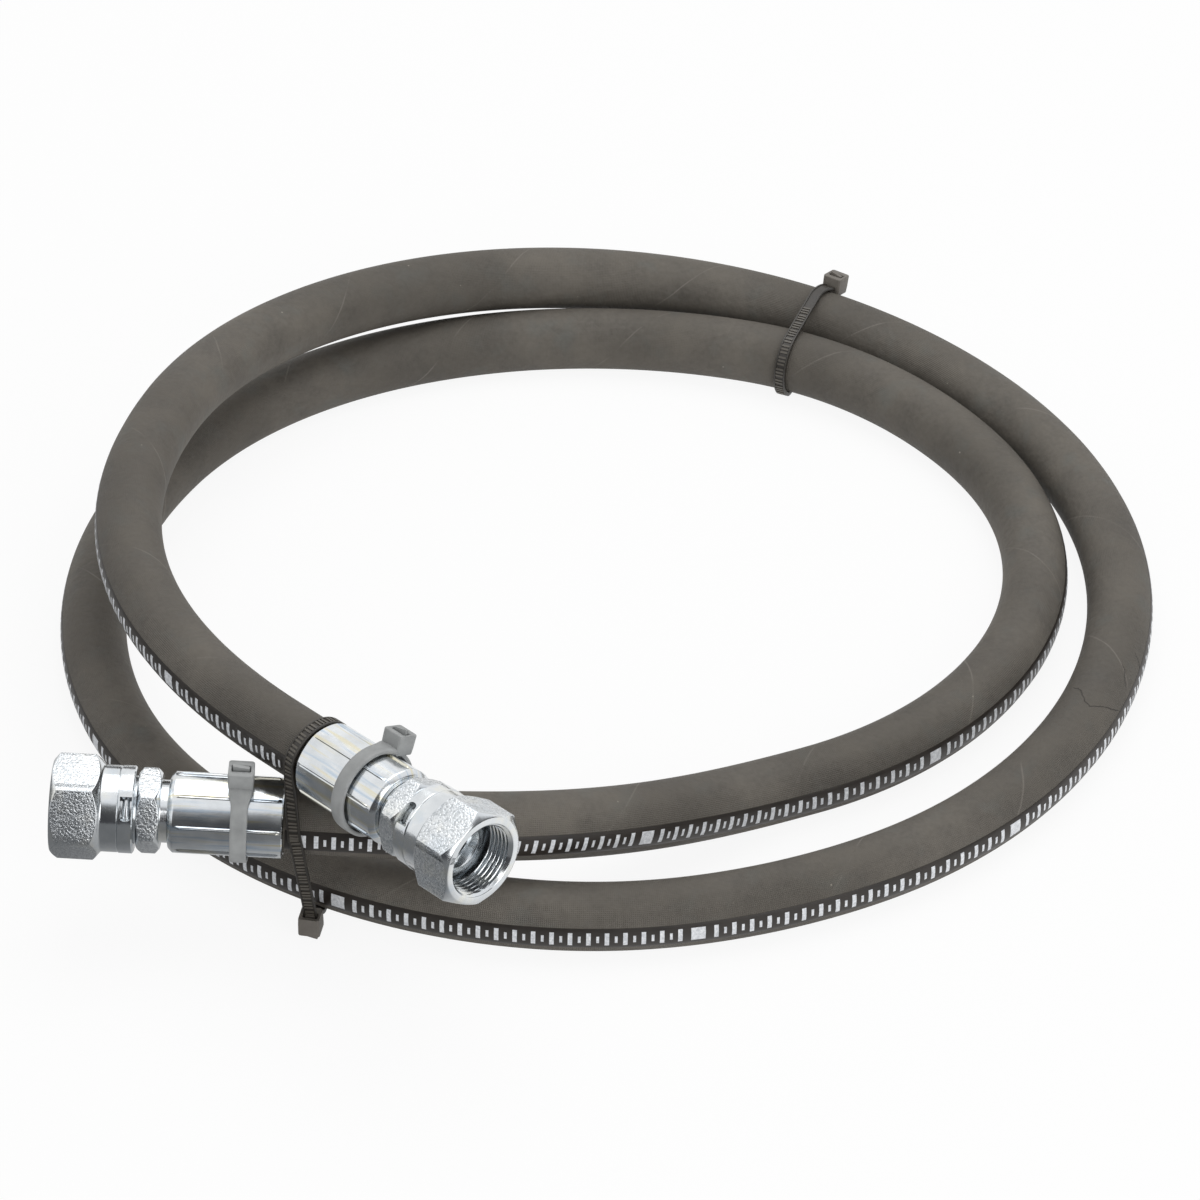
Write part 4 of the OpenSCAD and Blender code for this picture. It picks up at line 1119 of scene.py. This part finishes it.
# Name, place, width and power of each lamp, in metres and watts
LAMPS = [("overhead_softbox", (0.15, 0.4, 1.3), 1.2, 8.0), ("front_softbox", (0.7, -1.15, 0.55), 0.9, 6.0)]


def rays(tree, *kinds):
    path = add_node(tree, "ShaderNodeLightPath")
    return [Value(tree, path.outputs[f"Is {kind} Ray"]) for kind in kinds]


def paper_floor():
    """White paper: plain white to the camera, and matt to the lamps."""
    corners = [(x * FLOOR_REACH, y * FLOOR_REACH, FLOOR_Z) for x, y in ((-1, -1), (1, -1), (1, 1), (-1, 1))]
    mesh = bpy.data.meshes.new("floor")
    mesh.from_pydata(corners, [], [(0, 1, 2, 3)])
    floor = add_object("floor", mesh)
    paper = bpy.data.materials.new("white_paper_sweep")
    tree = empty_tree(paper)
    matt = add_node(tree, "ShaderNodeBsdfDiffuse", {"Color": "#f4f4f4"})
    camera_ray, glossy, through = rays(tree, "Camera", "Glossy", "Transmission")
    # metal sees the white floor behind and to the right, and a dimmer one at the front left
    x, y, _ = Value(tree, add_node(tree, "ShaderNodeNewGeometry").outputs["Position"]).parts()
    dim = (x + y).ramp(-0.3, -0.12).mix("#5c5e60", WHITE)
    glow = add_node(tree, "ShaderNodeEmission", {"Color": glossy.mix(WHITE, dim), "Strength": 1.0})
    seen = camera_ray.math("MAXIMUM", glossy.math("MAXIMUM", through)) * 0.9
    mixed = add_node(tree, "ShaderNodeMixShader", {0: seen, 1: matt.outputs[0], 2: glow.outputs[0]})
    add_node(tree, "ShaderNodeOutputMaterial", {"Surface": mixed.outputs[0]})
    mesh.materials.append(paper)


def studio_world():
    """White to the camera, a soft even light on the piece, and a gradient in its metal."""
    world = bpy.data.worlds.new("studio")
    bpy.context.scene.world = world
    tree = empty_tree(world)
    camera_ray, glossy = rays(tree, "Camera", "Glossy")
    x, y, z = Value(tree, add_node(tree, "ShaderNodeTexCoord").outputs["Generated"]).parts()
    lit_side = y * 0.9 + z * 0.8 - x * 0.42
    sky = add_node(tree, "ShaderNodeValToRGB", {0: lit_side.ramp(-0.9, 0.7)})
    stops = sky.color_ramp.elements
    stops[0].color, stops[1].color = (0.05, 0.05, 0.055, 1), (1, 1, 1, 1)
    for place, level in SKY:
        stops.new(place).color = (level, level * 1.01, level * 1.03, 1)
    levels = [{"Color": WHITE, "Strength": 0.56}, {"Color": sky.outputs[0]}, {"Color": WHITE}]
    soft, shine, white = [add_node(tree, "ShaderNodeBackground", level).outputs[0] for level in levels]
    lit = add_node(tree, "ShaderNodeMixShader", {0: glossy, 1: soft, 2: shine})
    seen = add_node(tree, "ShaderNodeMixShader", {0: camera_ray, 1: lit.outputs[0], 2: white})
    add_node(tree, "ShaderNodeOutputWorld", {"Surface": seen.outputs[0]})


paper_floor()
studio_world()
for name, place, size, watts in LAMPS:
    lamp = bpy.data.lights.new(name, "AREA")
    lamp.size, lamp.energy = size, watts
    holder = add_object(name, lamp)
    holder.location = place
    holder.rotation_euler = (-Vector(place)).to_track_quat("-Z", "Y").to_euler()

# ---- The cord's centre line at the cover's rings, in metres ----
cover_path = on_route(ring_places(COVER_SPACING))[0] * MM
